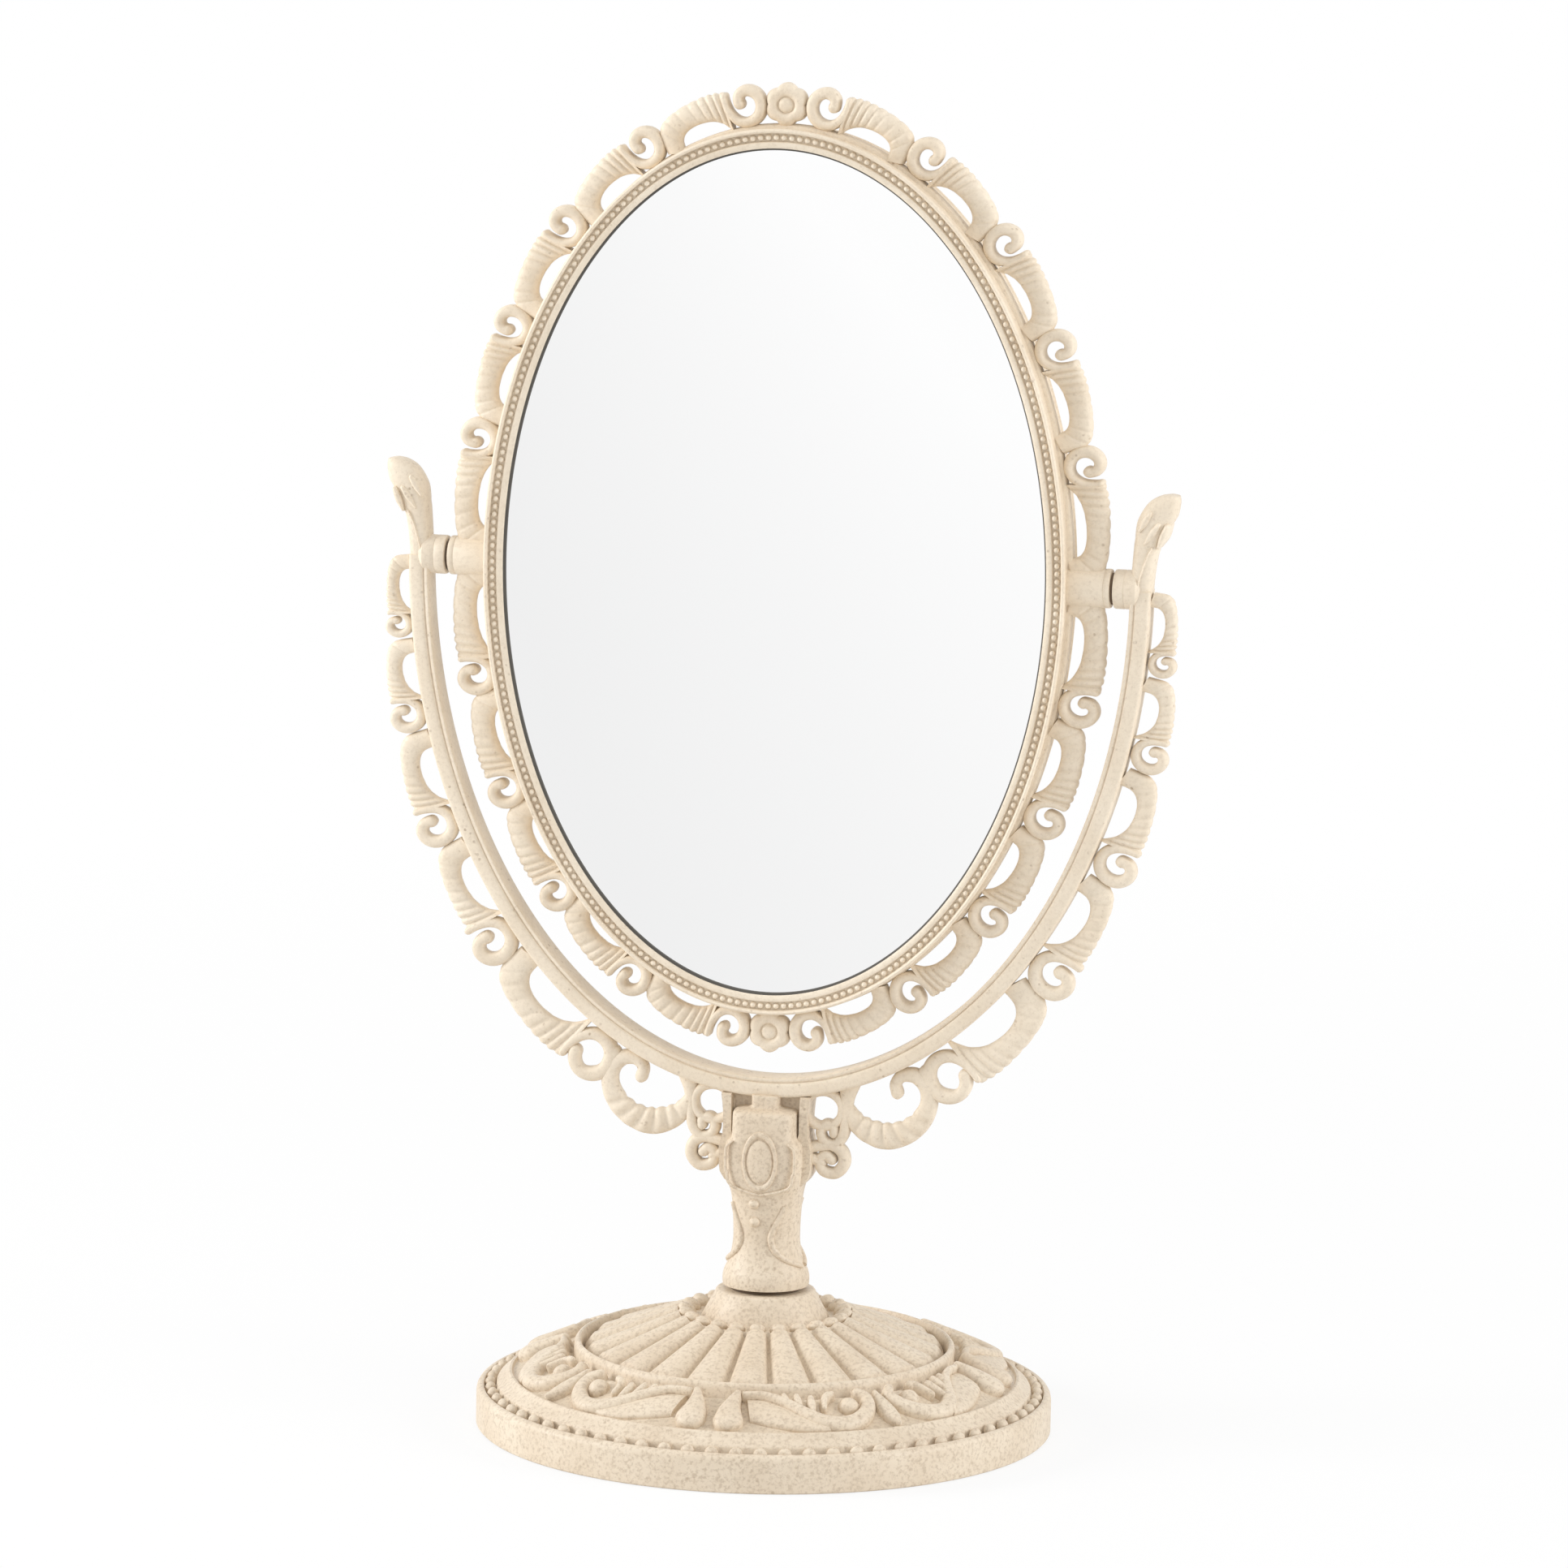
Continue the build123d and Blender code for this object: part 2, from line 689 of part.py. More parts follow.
# Screw from behind through the neck into the tang
with BuildPart() as yoke_screw:
    with BuildSketch(yoke_screw_plane):
        Circle(yoke_screw_head_radius)
    extrude(amount=-yoke_screw_head_height)
    with BuildSketch(yoke_screw_plane.offset(-yoke_screw_head_height)):
        Circle(yoke_screw_radius)
    extrude(amount=-yoke_screw_reach)
yoke_screw.part.label = "yoke_screw"
export_step(yoke_screw.part, "parts/yoke_screw.step")

# Thrust washer on the collar, under the column
with BuildPart() as swivel_washer:
    with BuildSketch(Plane.XY.offset(collar_top)):
        Circle(swivel_washer_radius)
        Circle(bore_radius, mode=Mode.SUBTRACT)
    extrude(amount=swivel_washer_thickness)
swivel_washer.part.label = "swivel_washer"
export_step(swivel_washer.part, "parts/swivel_washer.step")

# Washer and screw that hold the spigot down, under the hub
with BuildPart() as retaining_washer:
    with BuildSketch(Plane.XY.offset(spigot_bottom)):
        Circle(retaining_washer_radius)
        Circle(stem_screw_radius + thread_gap, mode=Mode.SUBTRACT)
    extrude(amount=-retaining_washer_thickness)
retaining_washer.part.label = "retaining_washer"
export_step(retaining_washer.part, "parts/retaining_washer.step")

with BuildPart() as stem_screw:
    with BuildSketch(Plane.XY.offset(spigot_bottom - retaining_washer_thickness)):
        Circle(stem_screw_head_radius)
    extrude(amount=-stem_screw_head_height)
    with BuildSketch(Plane.XY.offset(spigot_bottom - retaining_washer_thickness)):
        Circle(stem_screw_radius)
    extrude(amount=stem_screw_length)
stem_screw.part.label = "stem_screw"
export_step(stem_screw.part, "parts/stem_screw.step")


def slope_height(radius):
    """Height of the sloping band of the foot, between its rim and its dome ring."""
    share = (rim_top_radius - radius) / (rim_top_radius - slope_end)
    return base_wall_height + share * (slope_top - base_wall_height)


# Foot: hollow shell with bead groove, ridge, dome ring, fluted dome, collar and hub
with BuildPart() as base_shell:
    with BuildSketch(Plane.XZ):
        with BuildLine():
            Line((base_radius, base_lift), (base_radius, base_wall_height - edge_round))
            RadiusArc(
                (base_radius, base_wall_height - edge_round), (rim_top_radius, base_wall_height), -edge_round
            )
            Line((rim_top_radius, base_wall_height), (groove_out, slope_height(groove_out)))
            ThreePointArc(
                (groove_out, slope_height(groove_out)),
                (bead_ring_radius, slope_height(bead_ring_radius) - bead_groove_depth),
                (groove_in, slope_height(groove_in)),
            )
            Line((groove_in, slope_height(groove_in)), (ridge_out, slope_height(ridge_out)))
            ThreePointArc(
                (ridge_out, slope_height(ridge_out)),
                (ridge_radius, slope_height(ridge_radius) + ridge_rise),
                (ridge_in, slope_height(ridge_in)),
            )
            Line((ridge_in, slope_height(ridge_in)), (slope_end, slope_top))
            ThreePointArc(
                (slope_end, slope_top), (dome_ring_radius, dome_ring_height), (flute_start, flute_level)
            )
            Line((flute_start, flute_level), (scallop_radius, scallop_height))
            ThreePointArc(
                (scallop_radius, scallop_height),
                ((scallop_radius + collar_radius) / 2, scallop_height + scallop_rise),
                (collar_radius, collar_base),
            )
            Line((collar_radius, collar_base), (collar_radius, collar_top - collar_round))
            RadiusArc(
                (collar_radius, collar_top - collar_round),
                (collar_radius - collar_round, collar_top),
                -collar_round,
            )
            Polyline(
                (collar_radius - collar_round, collar_top),
                (bore_radius, collar_top),
                (bore_radius, hub_bottom),
                (hub_radius, hub_bottom),
                (hub_radius, cavity_roof),
                (collar_radius - base_wall, cavity_roof),
                (collar_radius - base_wall, scallop_height - base_wall),
                (flute_start, flute_level - base_wall),
                (slope_end, slope_top - base_wall),
                (groove_in, slope_height(groove_in) - base_wall),
                (base_radius - base_wall, base_wall_height - base_wall),
                (base_radius - base_wall, base_lift),
                (base_radius, base_lift),
            )
        make_face()
    revolve(axis=Axis.Z)
    flute_planes = []
    for index in range(flute_count):
        turn = 2 * math.pi / flute_count * index
        across, along = math.cos(turn), math.sin(turn)
        edge = Plane(
            origin=(flute_start * across, flute_start * along, flute_level),
            z_dir=(-flute_run * across, -flute_run * along, flute_rise),
        )
        flute_planes.append(edge.offset(flute_end_gap))
    with BuildSketch(*flute_planes):
        Circle(flute_groove)
    extrude(amount=flute_length - 2 * flute_end_gap, mode=Mode.SUBTRACT)
    with BuildSketch(Plane.XY.offset(cover_top)):
        with PolarLocations(cover_screw_circle, cover_screw_count, start_angle=90):
            Circle(post_radius)
    extrude(amount=slope_height(cover_screw_circle) - base_wall / 2 - cover_top)
    with BuildSketch(Plane.XY.offset(cover_top)):
        with PolarLocations(cover_screw_circle, cover_screw_count, start_angle=90):
            Circle(cover_screw_radius + thread_gap)
    extrude(amount=cover_screw_length - cover_thickness, mode=Mode.SUBTRACT)
base_shell.part.label = "base_shell"
export_step(base_shell.part, "parts/base_shell.step")

# Cover under the foot, with countersunk screw holes and pad recesses
with BuildPart() as base_cover:
    with BuildSketch(Plane.XY.offset(cover_bottom)):
        Circle(cover_radius)
    extrude(amount=cover_thickness)
    with BuildSketch(Plane.XY.offset(cover_bottom)):
        with PolarLocations(pad_circle, pad_count, start_angle=45):
            Circle(pad_radius)
    extrude(amount=pad_recess, mode=Mode.SUBTRACT)
    with Locations(under_plane):
        with PolarLocations(cover_screw_circle, cover_screw_count, start_angle=-90):
            CounterSinkHole(
                cover_screw_radius + thread_gap,
                cover_screw_head_radius + thread_gap,
                cover_thickness,
                counter_sink_angle=90,
            )
base_cover.part.label = "base_cover"
export_step(base_cover.part, "parts/base_cover.step")

# Cover screws, countersunk flush with the cover
with BuildPart() as cover_screws:
    with BuildSketch(Plane.XY.offset(cover_bottom)):
        with PolarLocations(cover_screw_circle, cover_screw_count, start_angle=90):
            Circle(cover_screw_head_radius)
    extrude(amount=cover_screw_head_radius - cover_screw_radius, taper=45)
    with BuildSketch(Plane.XY.offset(cover_bottom)):
        with PolarLocations(cover_screw_circle, cover_screw_count, start_angle=90):
            Circle(cover_screw_radius)
    extrude(amount=cover_screw_length)
cover_screws.part.label = "cover_screws"
export_step(cover_screws.part, "parts/cover_screws.step")

# Weight ring on the cover, inside the foot
with BuildPart() as ballast_ring:
    with BuildSketch(Plane.XY.offset(cover_top)):
        Circle(ballast_outer_radius)
        Circle(ballast_inner_radius, mode=Mode.SUBTRACT)
    extrude(amount=ballast_thickness)
ballast_ring.part.label = "ballast_ring"
export_step(ballast_ring.part, "parts/ballast_ring.step")

# Rubber feet in their recesses
with BuildPart() as foot_pads:
    with BuildSketch():
        with PolarLocations(pad_circle, pad_count, start_angle=45):
            Circle(pad_radius)
    extrude(amount=pad_thickness)
foot_pads.part.label = "foot_pads"
export_step(foot_pads.part, "parts/foot_pads.step")
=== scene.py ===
import math

import bmesh
import bpy
import numpy as np
from mathutils import Matrix, Vector


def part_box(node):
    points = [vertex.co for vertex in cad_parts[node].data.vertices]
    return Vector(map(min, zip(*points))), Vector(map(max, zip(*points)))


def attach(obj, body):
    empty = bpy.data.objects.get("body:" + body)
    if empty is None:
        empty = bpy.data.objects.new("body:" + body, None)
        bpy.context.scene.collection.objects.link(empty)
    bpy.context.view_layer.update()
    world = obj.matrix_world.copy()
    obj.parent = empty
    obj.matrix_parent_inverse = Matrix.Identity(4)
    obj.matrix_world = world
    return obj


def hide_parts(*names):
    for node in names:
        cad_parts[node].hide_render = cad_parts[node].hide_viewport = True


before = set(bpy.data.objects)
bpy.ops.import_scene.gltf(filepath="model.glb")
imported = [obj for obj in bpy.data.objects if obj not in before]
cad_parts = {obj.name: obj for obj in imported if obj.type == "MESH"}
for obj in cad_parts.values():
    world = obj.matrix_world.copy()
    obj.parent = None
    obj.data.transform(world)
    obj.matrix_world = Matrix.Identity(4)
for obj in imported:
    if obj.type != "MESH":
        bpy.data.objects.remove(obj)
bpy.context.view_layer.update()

MM = 0.001
PER_METRE = 1000
TAU = 2 * math.pi

# Sizes of the solids. The pivots' axis runs through the middle of their washers
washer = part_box("friction_washer_left")
PIVOT = (washer[0].z + washer[1].z) / 2 * PER_METRE
RIM_X, RIM_Z = 69.6, 104.2
SEAM = 5.6
FRAME_BOSS_FACE = 79.3
YOKE_BOSS_FACE = 80.0
BOSS_RADIUS = 4.6
BUSH_RADIUS = 3.05
PIN_RADIUS = 2.0
YOKE_IN_X, YOKE_IN_Z = 84.0, 120.0
BAND = 4.8
BASE_RADIUS = 68.2
BASE_LIFT = 0.15
COLLAR_TOP = 33.1
BORE_RADIUS = 6.06


class Form:
    """Points and faces, in millimetres, that become one mesh."""

    def __init__(self):
        self.points = []
        self.faces = []

    def loft(self, rings, closed=False):
        """Skin over a row of closed rings, capped at its ends or closed on itself."""
        start = len(self.points)
        size = len(rings[0])
        for ring in rings:
            self.points.extend(tuple(point) for point in ring)
        count = len(rings)
        for i in range(count if closed else count - 1):
            here = start + i * size
            there = start + (i + 1) % count * size
            for k in range(size):
                after = (k + 1) % size
                self.faces.append((here + k, here + after, there + after, there + k))
        if not closed:
            self.faces.append(tuple(start + k for k in reversed(range(size))))
            self.faces.append(tuple(start + (count - 1) * size + k for k in range(size)))
        return self

    def add(self, other, move=lambda *point: point):
        """Copy of another form, with each point moved."""
        start = len(self.points)
        self.points.extend(move(*point) for point in other.points)
        self.faces.extend(tuple(start + k for k in face) for face in other.faces)
        return self

    def piece(self, name, body, material, *nodes, slot="moulded_plastic", crease=40):
        """Mesh object that rides on a body and stands for CAD nodes."""
        mesh = bpy.data.meshes.new(name)
        mesh.from_pydata([Vector(point) * MM for point in self.points], [], self.faces)
        work = bmesh.new()
        work.from_mesh(mesh)
        bmesh.ops.recalc_face_normals(work, faces=work.faces)
        work.to_mesh(mesh)
        work.free()
        mesh.shade_smooth()
        mesh.set_sharp_from_angle(angle=math.radians(crease))
        mesh.materials.append(material)
        thing = bpy.data.objects.new(name, mesh)
        bpy.context.scene.collection.objects.link(thing)
        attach(thing, body)
        if nodes:
            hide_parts(*nodes)
        return thing


def curve(knots, count):
    """Smooth run of points through knots of any number of values each."""
    knots = np.asarray(knots, float)
    ends = np.vstack([2 * knots[0] - knots[1], knots, 2 * knots[-1] - knots[-2]])
    place = np.linspace(0, len(knots) - 1, count)
    first = np.minimum(place.astype(int), len(knots) - 2)
    t = (place - first)[:, None]
    a, b, c, d = (ends[first + k] for k in range(4))
    return 0.5 * (2 * b + (c - a) * t + (2 * a - 5 * b + 4 * c - d) * t**2 + (3 * b - a - 3 * c + d) * t**3)


def flatten(values, power):
    """Values from -1 to 1, squared off or rounded by a power."""
    return np.sign(values) * np.abs(values) ** power


def directions(points):
    """Unit direction along a row of points, at each of them."""
    way = np.gradient(points, axis=0)
    return way / np.linalg.norm(way, axis=1)[:, None]


def turns(count):
    """Even angles round a full turn."""
    return np.linspace(0, TAU, count, endpoint=False)


# Steps in which a quarter of an oval is measured
QUARTER_STEPS = 1800


class Oval:
    """Oval about the pivots: points by the run along its edge from its end, and the stand-off from it."""

    def __init__(self, half_width, half_height):
        self.half_width = half_width
        self.half_height = half_height
        self.angles = np.linspace(0, TAU, 4 * QUARTER_STEPS + 1)
        speed = np.hypot(half_width * np.cos(self.angles), half_height * np.sin(self.angles))
        steps = (speed[1:] + speed[:-1]) / 2 * np.diff(self.angles)
        self.runs = np.concatenate([[0], np.cumsum(steps)])
        self.quarter = self.runs[QUARTER_STEPS]

    def at(self, run, out):
        angle = np.interp(run, self.runs, self.angles)
        across = np.sin(angle) / self.half_width
        along = np.cos(angle) / self.half_height
        slope = np.hypot(across, along)
        x = self.half_width * np.sin(angle) + out * across / slope
        y = self.half_height * np.cos(angle) + out * along / slope
        return np.stack([x, y], -1)


# Cross section of every ridge and blade: a squared-off round
SECTION = turns(20)
ACROSS = flatten(np.cos(SECTION), 0.8)
DOME = flatten(np.sin(SECTION), 0.72)
# Turns at which a ridge's round end is cut into rings
END_TURNS = np.radians([80, 62, 42, 21])
# How far a groove of full depth cuts into a blade's outer edge
NOTCH = 1.2
# Rings and sides of a bead
BEAD_RISES = np.radians([-35, -8, 18, 42, 64, 82])
BEAD_SIDES = 14


def end_height(turn):
    """Share of its height that a ridge keeps on its round end."""
    return 0.45 + 0.55 * math.cos(turn)


def stroke(path, widths, heights, ends=(True, True)):
    """Rounded ridge along a path in the plane, with round ends where asked."""
    path = np.asarray(path, float)
    widths = np.broadcast_to(widths, len(path)).astype(float)
    heights = np.broadcast_to(heights, len(path)).astype(float)
    way = directions(path)
    rings = []

    def ring(centre, direction, width, height):
        side = np.array([-direction[1], direction[0]])
        flat = centre + ACROSS[:, None] * side * width
        rings.append(np.column_stack([flat, DOME * height]))

    if ends[0]:
        for turn in END_TURNS:
            centre = path[0] - way[0] * widths[0] * math.sin(turn)
            ring(centre, way[0], widths[0] * math.cos(turn), heights[0] * end_height(turn))
    for centre, direction, width, height in zip(path, way, widths, heights):
        ring(centre, direction, width, height)
    if ends[1]:
        for turn in reversed(END_TURNS):
            centre = path[-1] + way[-1] * widths[-1] * math.sin(turn)
            ring(centre, way[-1], widths[-1] * math.cos(turn), heights[-1] * end_height(turn))
    return Form().loft(rings)


def trace(knots, heights, count=64):
    """Ridge through knots of two places and a half width each."""
    path = curve(knots, count)
    return stroke(path[:, :2], path[:, 2], heights)


def ribbon(inner, outer, heights, grooves=(), slant=0.0, groove_width=0.018):
    """Domed blade between two edges, crossed by grooves, each a share of its length and a depth."""
    count = len(inner)
    u = np.linspace(0, 1, count)
    heights = np.broadcast_to(heights, count)
    share = (ACROSS + 1) / 2
    rings = []
    for i in range(count):
        span = outer[i] - inner[i]
        carve = np.zeros(len(share))
        for place, depth in grooves:
            carve += depth * np.exp(-(((u[i] - place - slant * (share - 0.5)) / groove_width) ** 2))
        notch = NOTCH * carve * share**4
        flat = inner[i] + share[:, None] * span - notch[:, None] * span / np.linalg.norm(span)
        rings.append(np.column_stack([flat, DOME * heights[i] * (1 - carve)]))
    return Form().loft(rings)


def lathe(profile, steps):
    """Closed profile of radius and height, turned about the upright axis."""
    rings = []
    for turn in turns(steps):
        rings.append([(r * math.cos(turn), r * math.sin(turn), z) for r, z in profile])
    return Form().loft(rings, closed=True)


def circle(radius, level, count):
    """Level ring of points about the upright axis."""
    return [(radius * math.cos(turn), radius * math.sin(turn), level) for turn in turns(count)]


def pearl(centre, out, along, up, radius, length, height):
    """Bead: half round, with its own three directions."""
    rings = []
    for rise in BEAD_RISES:
        ring = []
        for turn in turns(BEAD_SIDES):
            step = math.cos(rise) * (out * radius * math.cos(turn) + along * length * math.sin(turn))
            ring.append(centre + step + up * height * math.sin(rise))
        rings.append(ring)
    return Form().loft(rings)


# Materials


def nodes_of(name):
    material = bpy.data.materials.new(name)
    material.use_nodes = True
    tree = material.node_tree
    return material, tree, tree.nodes["Principled BSDF"]


def object_place(tree):
    return tree.nodes.new("ShaderNodeTexCoord").outputs["Object"]


def link(tree, a, b):
    tree.links.new(a, b)


def feed(tree, value, socket):
    """Sets a number or a colour on a socket, or links another socket to it."""
    if isinstance(value, float):
        socket.default_value = value
    elif isinstance(value, tuple):
        socket.default_value = (*value, 1)
    else:
        link(tree, value, socket)


def noise(tree, where, scale, detail=3.0, roughness=0.55):
    node = tree.nodes.new("ShaderNodeTexNoise")
    node.inputs["Scale"].default_value = scale
    node.inputs["Detail"].default_value = detail
    node.inputs["Roughness"].default_value = roughness
    link(tree, where, node.inputs["Vector"])
    return node.outputs["Fac"]


def ramp(tree, value, *stops):
    """Grey by a value: the place and the tone of two stops."""
    node = tree.nodes.new("ShaderNodeValToRGB")
    for element, (place, tone) in zip(node.color_ramp.elements, stops):
        element.position = place
        element.color = (tone, tone, tone, 1)
    link(tree, value, node.inputs["Fac"])
    return node.outputs["Color"]


# Sockets of a mix node's share, two colours and result
MIX_SHARE, MIX_A, MIX_B, MIX_RESULT = 0, 6, 7, 2


def mix(tree, share, a, b, way="MIX"):
    node = tree.nodes.new("ShaderNodeMix")
    node.data_type = "RGBA"
    node.blend_type = way
    for value, number in ((share, MIX_SHARE), (a, MIX_A), (b, MIX_B)):
        feed(tree, value, node.inputs[number])
    return node.outputs[MIX_RESULT]


def bump(tree, shader, height, strength, distance):
    node = tree.nodes.new("ShaderNodeBump")
    node.inputs["Strength"].default_value = strength
    node.inputs["Distance"].default_value = distance
    link(tree, height, node.inputs["Height"])
    link(tree, node.outputs["Normal"], shader.inputs["Normal"])


def gloss(tree, shader, value, low, high):
    """Roughness that runs between two values."""
    link(tree, ramp(tree, value, (0.3, low), (0.7, high)), shader.inputs["Roughness"])


# Features per metre in the moulded plastic
CLOUD_SCALE = 70
DOT_SCALE = 700
PATCH_SCALE = 420
GRAIN_SCALE = 1050
GLOSS_SCALE = 700
SKIN_SCALE = 1800


def moulded(name, light, dark, speck, amount):
    """Matte cream plastic with mottling, straw grains and fine specks."""
    material, tree, shader = nodes_of(name)
    where = object_place(tree)
    cloud = ramp(tree, noise(tree, where, CLOUD_SCALE), (0.35, 0), (0.68, 1))
    tone = mix(tree, cloud, light, dark)
    cells = tree.nodes.new("ShaderNodeTexVoronoi")
    cells.inputs["Scale"].default_value = DOT_SCALE
    link(tree, where, cells.inputs["Vector"])
    dots = ramp(tree, cells.outputs["Distance"], (0.16, 1), (0.34, 0))
    patch_start = 0.60 - 0.14 * amount
    patch = ramp(tree, noise(tree, where, PATCH_SCALE), (patch_start, 0), (0.72, 1))
    flecks = mix(tree, 1.0, dots, patch, "MULTIPLY")
    grain = noise(tree, where, GRAIN_SCALE, roughness=0.7)
    grains = ramp(tree, grain, (0.47, 0), (0.66, 0.75 * amount))
    tone = mix(tree, grains, tone, speck)
    tone = mix(tree, flecks, tone, speck)
    link(tree, tone, shader.inputs["Base Color"])
    gloss(tree, shader, noise(tree, where, GLOSS_SCALE), 0.42, 0.56)
    shader.inputs["Specular IOR Level"].default_value = 0.4
    bump(tree, shader, noise(tree, where, SKIN_SCALE, detail=2.0), strength=0.12, distance=0.0002)
    return material


def metal(name, colour, rough, streak):
    """Plain metal with fine tool marks."""
    material, tree, shader = nodes_of(name)
    marks = noise(tree, object_place(tree), streak, detail=4.0)
    darker = tuple(0.75 * part for part in colour)
    link(tree, mix(tree, marks, darker, colour), shader.inputs["Base Color"])
    gloss(tree, shader, marks, rough - 0.07, rough + 0.07)
    shader.inputs["Metallic"].default_value = 1.0
    bump(tree, shader, marks, strength=0.1, distance=0.0001)
    return material


def dull(name, light, dark, rough, scale):
    """Rubber, felt or plain inner plastic, and the near-black painted shade on the glass's edge ring."""
    material, tree, shader = nodes_of(name)
    grain = noise(tree, object_place(tree), scale, detail=4.0)
    link(tree, mix(tree, grain, dark, light), shader.inputs["Base Color"])
    gloss(tree, shader, grain, rough - 0.08, rough + 0.08)
    bump(tree, shader, grain, strength=0.15, distance=0.0002)
    return material


def silvered(name):
    """Silvered glass: a clean mirror with the faintest haze in its polish."""
    material, tree, shader = nodes_of(name)
    haze = noise(tree, object_place(tree), scale=14, detail=2.0)
    link(tree, mix(tree, haze, (0.98, 0.982, 0.984), (0.992, 0.992, 0.992)), shader.inputs["Base Color"])
    gloss(tree, shader, haze, 0.012, 0.022)
    shader.inputs["Metallic"].default_value = 1.0
    return material


CREAM = (0.85, 0.748, 0.605)
SAND = (0.79, 0.678, 0.53)
OAT = (0.775, 0.67, 0.53)
WHEAT = (0.71, 0.595, 0.455)
STRAW = (0.50, 0.395, 0.285)
plastic = moulded("cream_plastic", CREAM, SAND, STRAW, amount=0.3)
speckled = moulded("speckled_plastic", OAT, WHEAT, STRAW, amount=0.85)
mirror_silver = silvered("silvered_glass")
# Near-black finish of the glass's edge ring: painted shade of the recess behind the rim's lip
painted_shade_edge = dull("glass_edge_painted_shade", (0.11, 0.10, 0.085), (0.06, 0.054, 0.045), rough=0.6, scale=300)
steel = metal("plain_steel", (0.62, 0.62, 0.63), rough=0.32, streak=900)
iron = metal("raw_iron", (0.26, 0.26, 0.27), rough=0.55, streak=260)
rubber = dull("dark_rubber", (0.055, 0.05, 0.045), (0.03, 0.028, 0.026), rough=0.7, scale=800)
fibre = dull("brown_fibre", (0.17, 0.115, 0.07), (0.10, 0.065, 0.04), rough=0.75, scale=900)
inner_plastic = dull("inner_plastic", (0.60, 0.57, 0.52), (0.50, 0.48, 0.44), rough=0.5, scale=400)
bush_plastic = dull("bush_plastic", (0.80, 0.78, 0.73), (0.72, 0.70, 0.66), rough=0.35, scale=500)

# Mirror head: rims with a channel of pearls

rim_oval = Oval(RIM_X, RIM_Z)


def head_point(x, up, front):
    return (x, -front, PIVOT + up)


def oval_ring(profile, steps=420):
    """Closed profile of stand-off and depth, carried round the rim's oval."""
    rings = []
    for turn in turns(steps):
        s, c = math.sin(turn), math.cos(turn)
        rings.append([head_point((RIM_X + d) * s, (RIM_Z + d) * c, front) for d, front in profile])
    return Form().loft(rings, closed=True)


GLASS_INSET = -4.3
LIP_INSET = -4.6
PLATE_INSET = -2.05
WALL_INSET = -0.5
# From the drum over the outer bead, the pearls' channel and the lip: stand-off from the oval, front
RIM_FACE = (
    (WALL_INSET, 6.2),
    (-0.38, 6.5),
    (-0.06, 6.7),
    (0.0, 7.15),
    (-0.1, 7.62),
    (-0.32, 7.92),
    (-0.56, 8.0),
    (-0.8, 7.9),
    (-0.98, 7.6),
    (-1.06, 7.1),
    (-1.18, 6.4),
    (-2.95, 6.3),
    (-3.05, 6.9),
    (-3.2, 7.2),
    (-3.45, 7.28),
    (-4.3, 7.08),
    (LIP_INSET, 6.85),
    (LIP_INSET, 6.5),
    (GLASS_INSET, SEAM),
    (PLATE_INSET, SEAM),
)
PEARL_INSET = -2.06
PEARL_COUNT = 290
PEARL_FRONT = 6.62
PEARL_OUT, PEARL_ALONG, PEARL_HEIGHT = 0.68, 0.72, 0.85
# Step along an oval that gives its direction
NEAR = 0.01
RIM_JOINT = 0.12
REAR_EASE_IN, REAR_EASE_OUT = 0.12, 0.15
rim_end = -SEAM + RIM_JOINT
front_rim = oval_ring([(WALL_INSET, rim_end), *RIM_FACE, (PLATE_INSET, rim_end)])
rear_edge = ((WALL_INSET - REAR_EASE_IN, SEAM), (WALL_INSET, SEAM + REAR_EASE_OUT))
rear_rim = oval_ring([(d, -front) for d, front in (*rear_edge, *RIM_FACE)])
pearl_oval = Oval(RIM_X + PEARL_INSET, RIM_Z + PEARL_INSET)
front_pearls, rear_pearls = Form(), Form()
for index in range(PEARL_COUNT):
    run = (index + 0.5) / PEARL_COUNT * pearl_oval.runs[-1]
    x, up = pearl_oval.at(run, 0.0)
    ahead = pearl_oval.at(run + NEAR, 0.0) - (x, up)
    ahead /= np.linalg.norm(ahead)
    out = np.array((-ahead[1], 0, ahead[0]))
    along = np.array((ahead[0], 0, ahead[1]))
    for form, side in ((front_pearls, 1), (rear_pearls, -1)):
        seat = np.array(head_point(x, up, side * PEARL_FRONT))
        outward = np.array((0.0, -side, 0.0))
        form.add(pearl(seat, out, along, outward, PEARL_OUT, PEARL_ALONG, PEARL_HEIGHT))
front_rim.piece("frame_rim", "mirror_head", plastic, "mirror_frame")
front_pearls.piece("frame_pearls", "mirror_head", plastic)
rear_rim.piece("rear_rim", "mirror_head", plastic, "rear_bezel")
rear_pearls.piece("rear_pearls", "mirror_head", plastic)

# Mirror glasses: silvered oval plates, set back from the rim, with a dark ring just behind its lip: the
# glass's ground edge, made near-black as painted shade of the recess there
GLASS_X, GLASS_Z = 67.3, 101.9
GLASS_BACK, SILVER_FACE = 3.6, 5.5
EDGE_INSET = -5.08
EDGE_FRONT = 6.1
EDGE_TUCK, EDGE_EASE, EDGE_FALL, EDGE_SINK = 0.3, 0.1, 0.15, 0.1
# Share of a face's reach that stands for its middle
MIDDLE = 0.001
# Share of the glass's reach, front
GLASS_RINGS = (
    (MIDDLE, GLASS_BACK),
    (1, GLASS_BACK),
    (1, SILVER_FACE),
    (0.5, SILVER_FACE),
    (MIDDLE, SILVER_FACE),
)
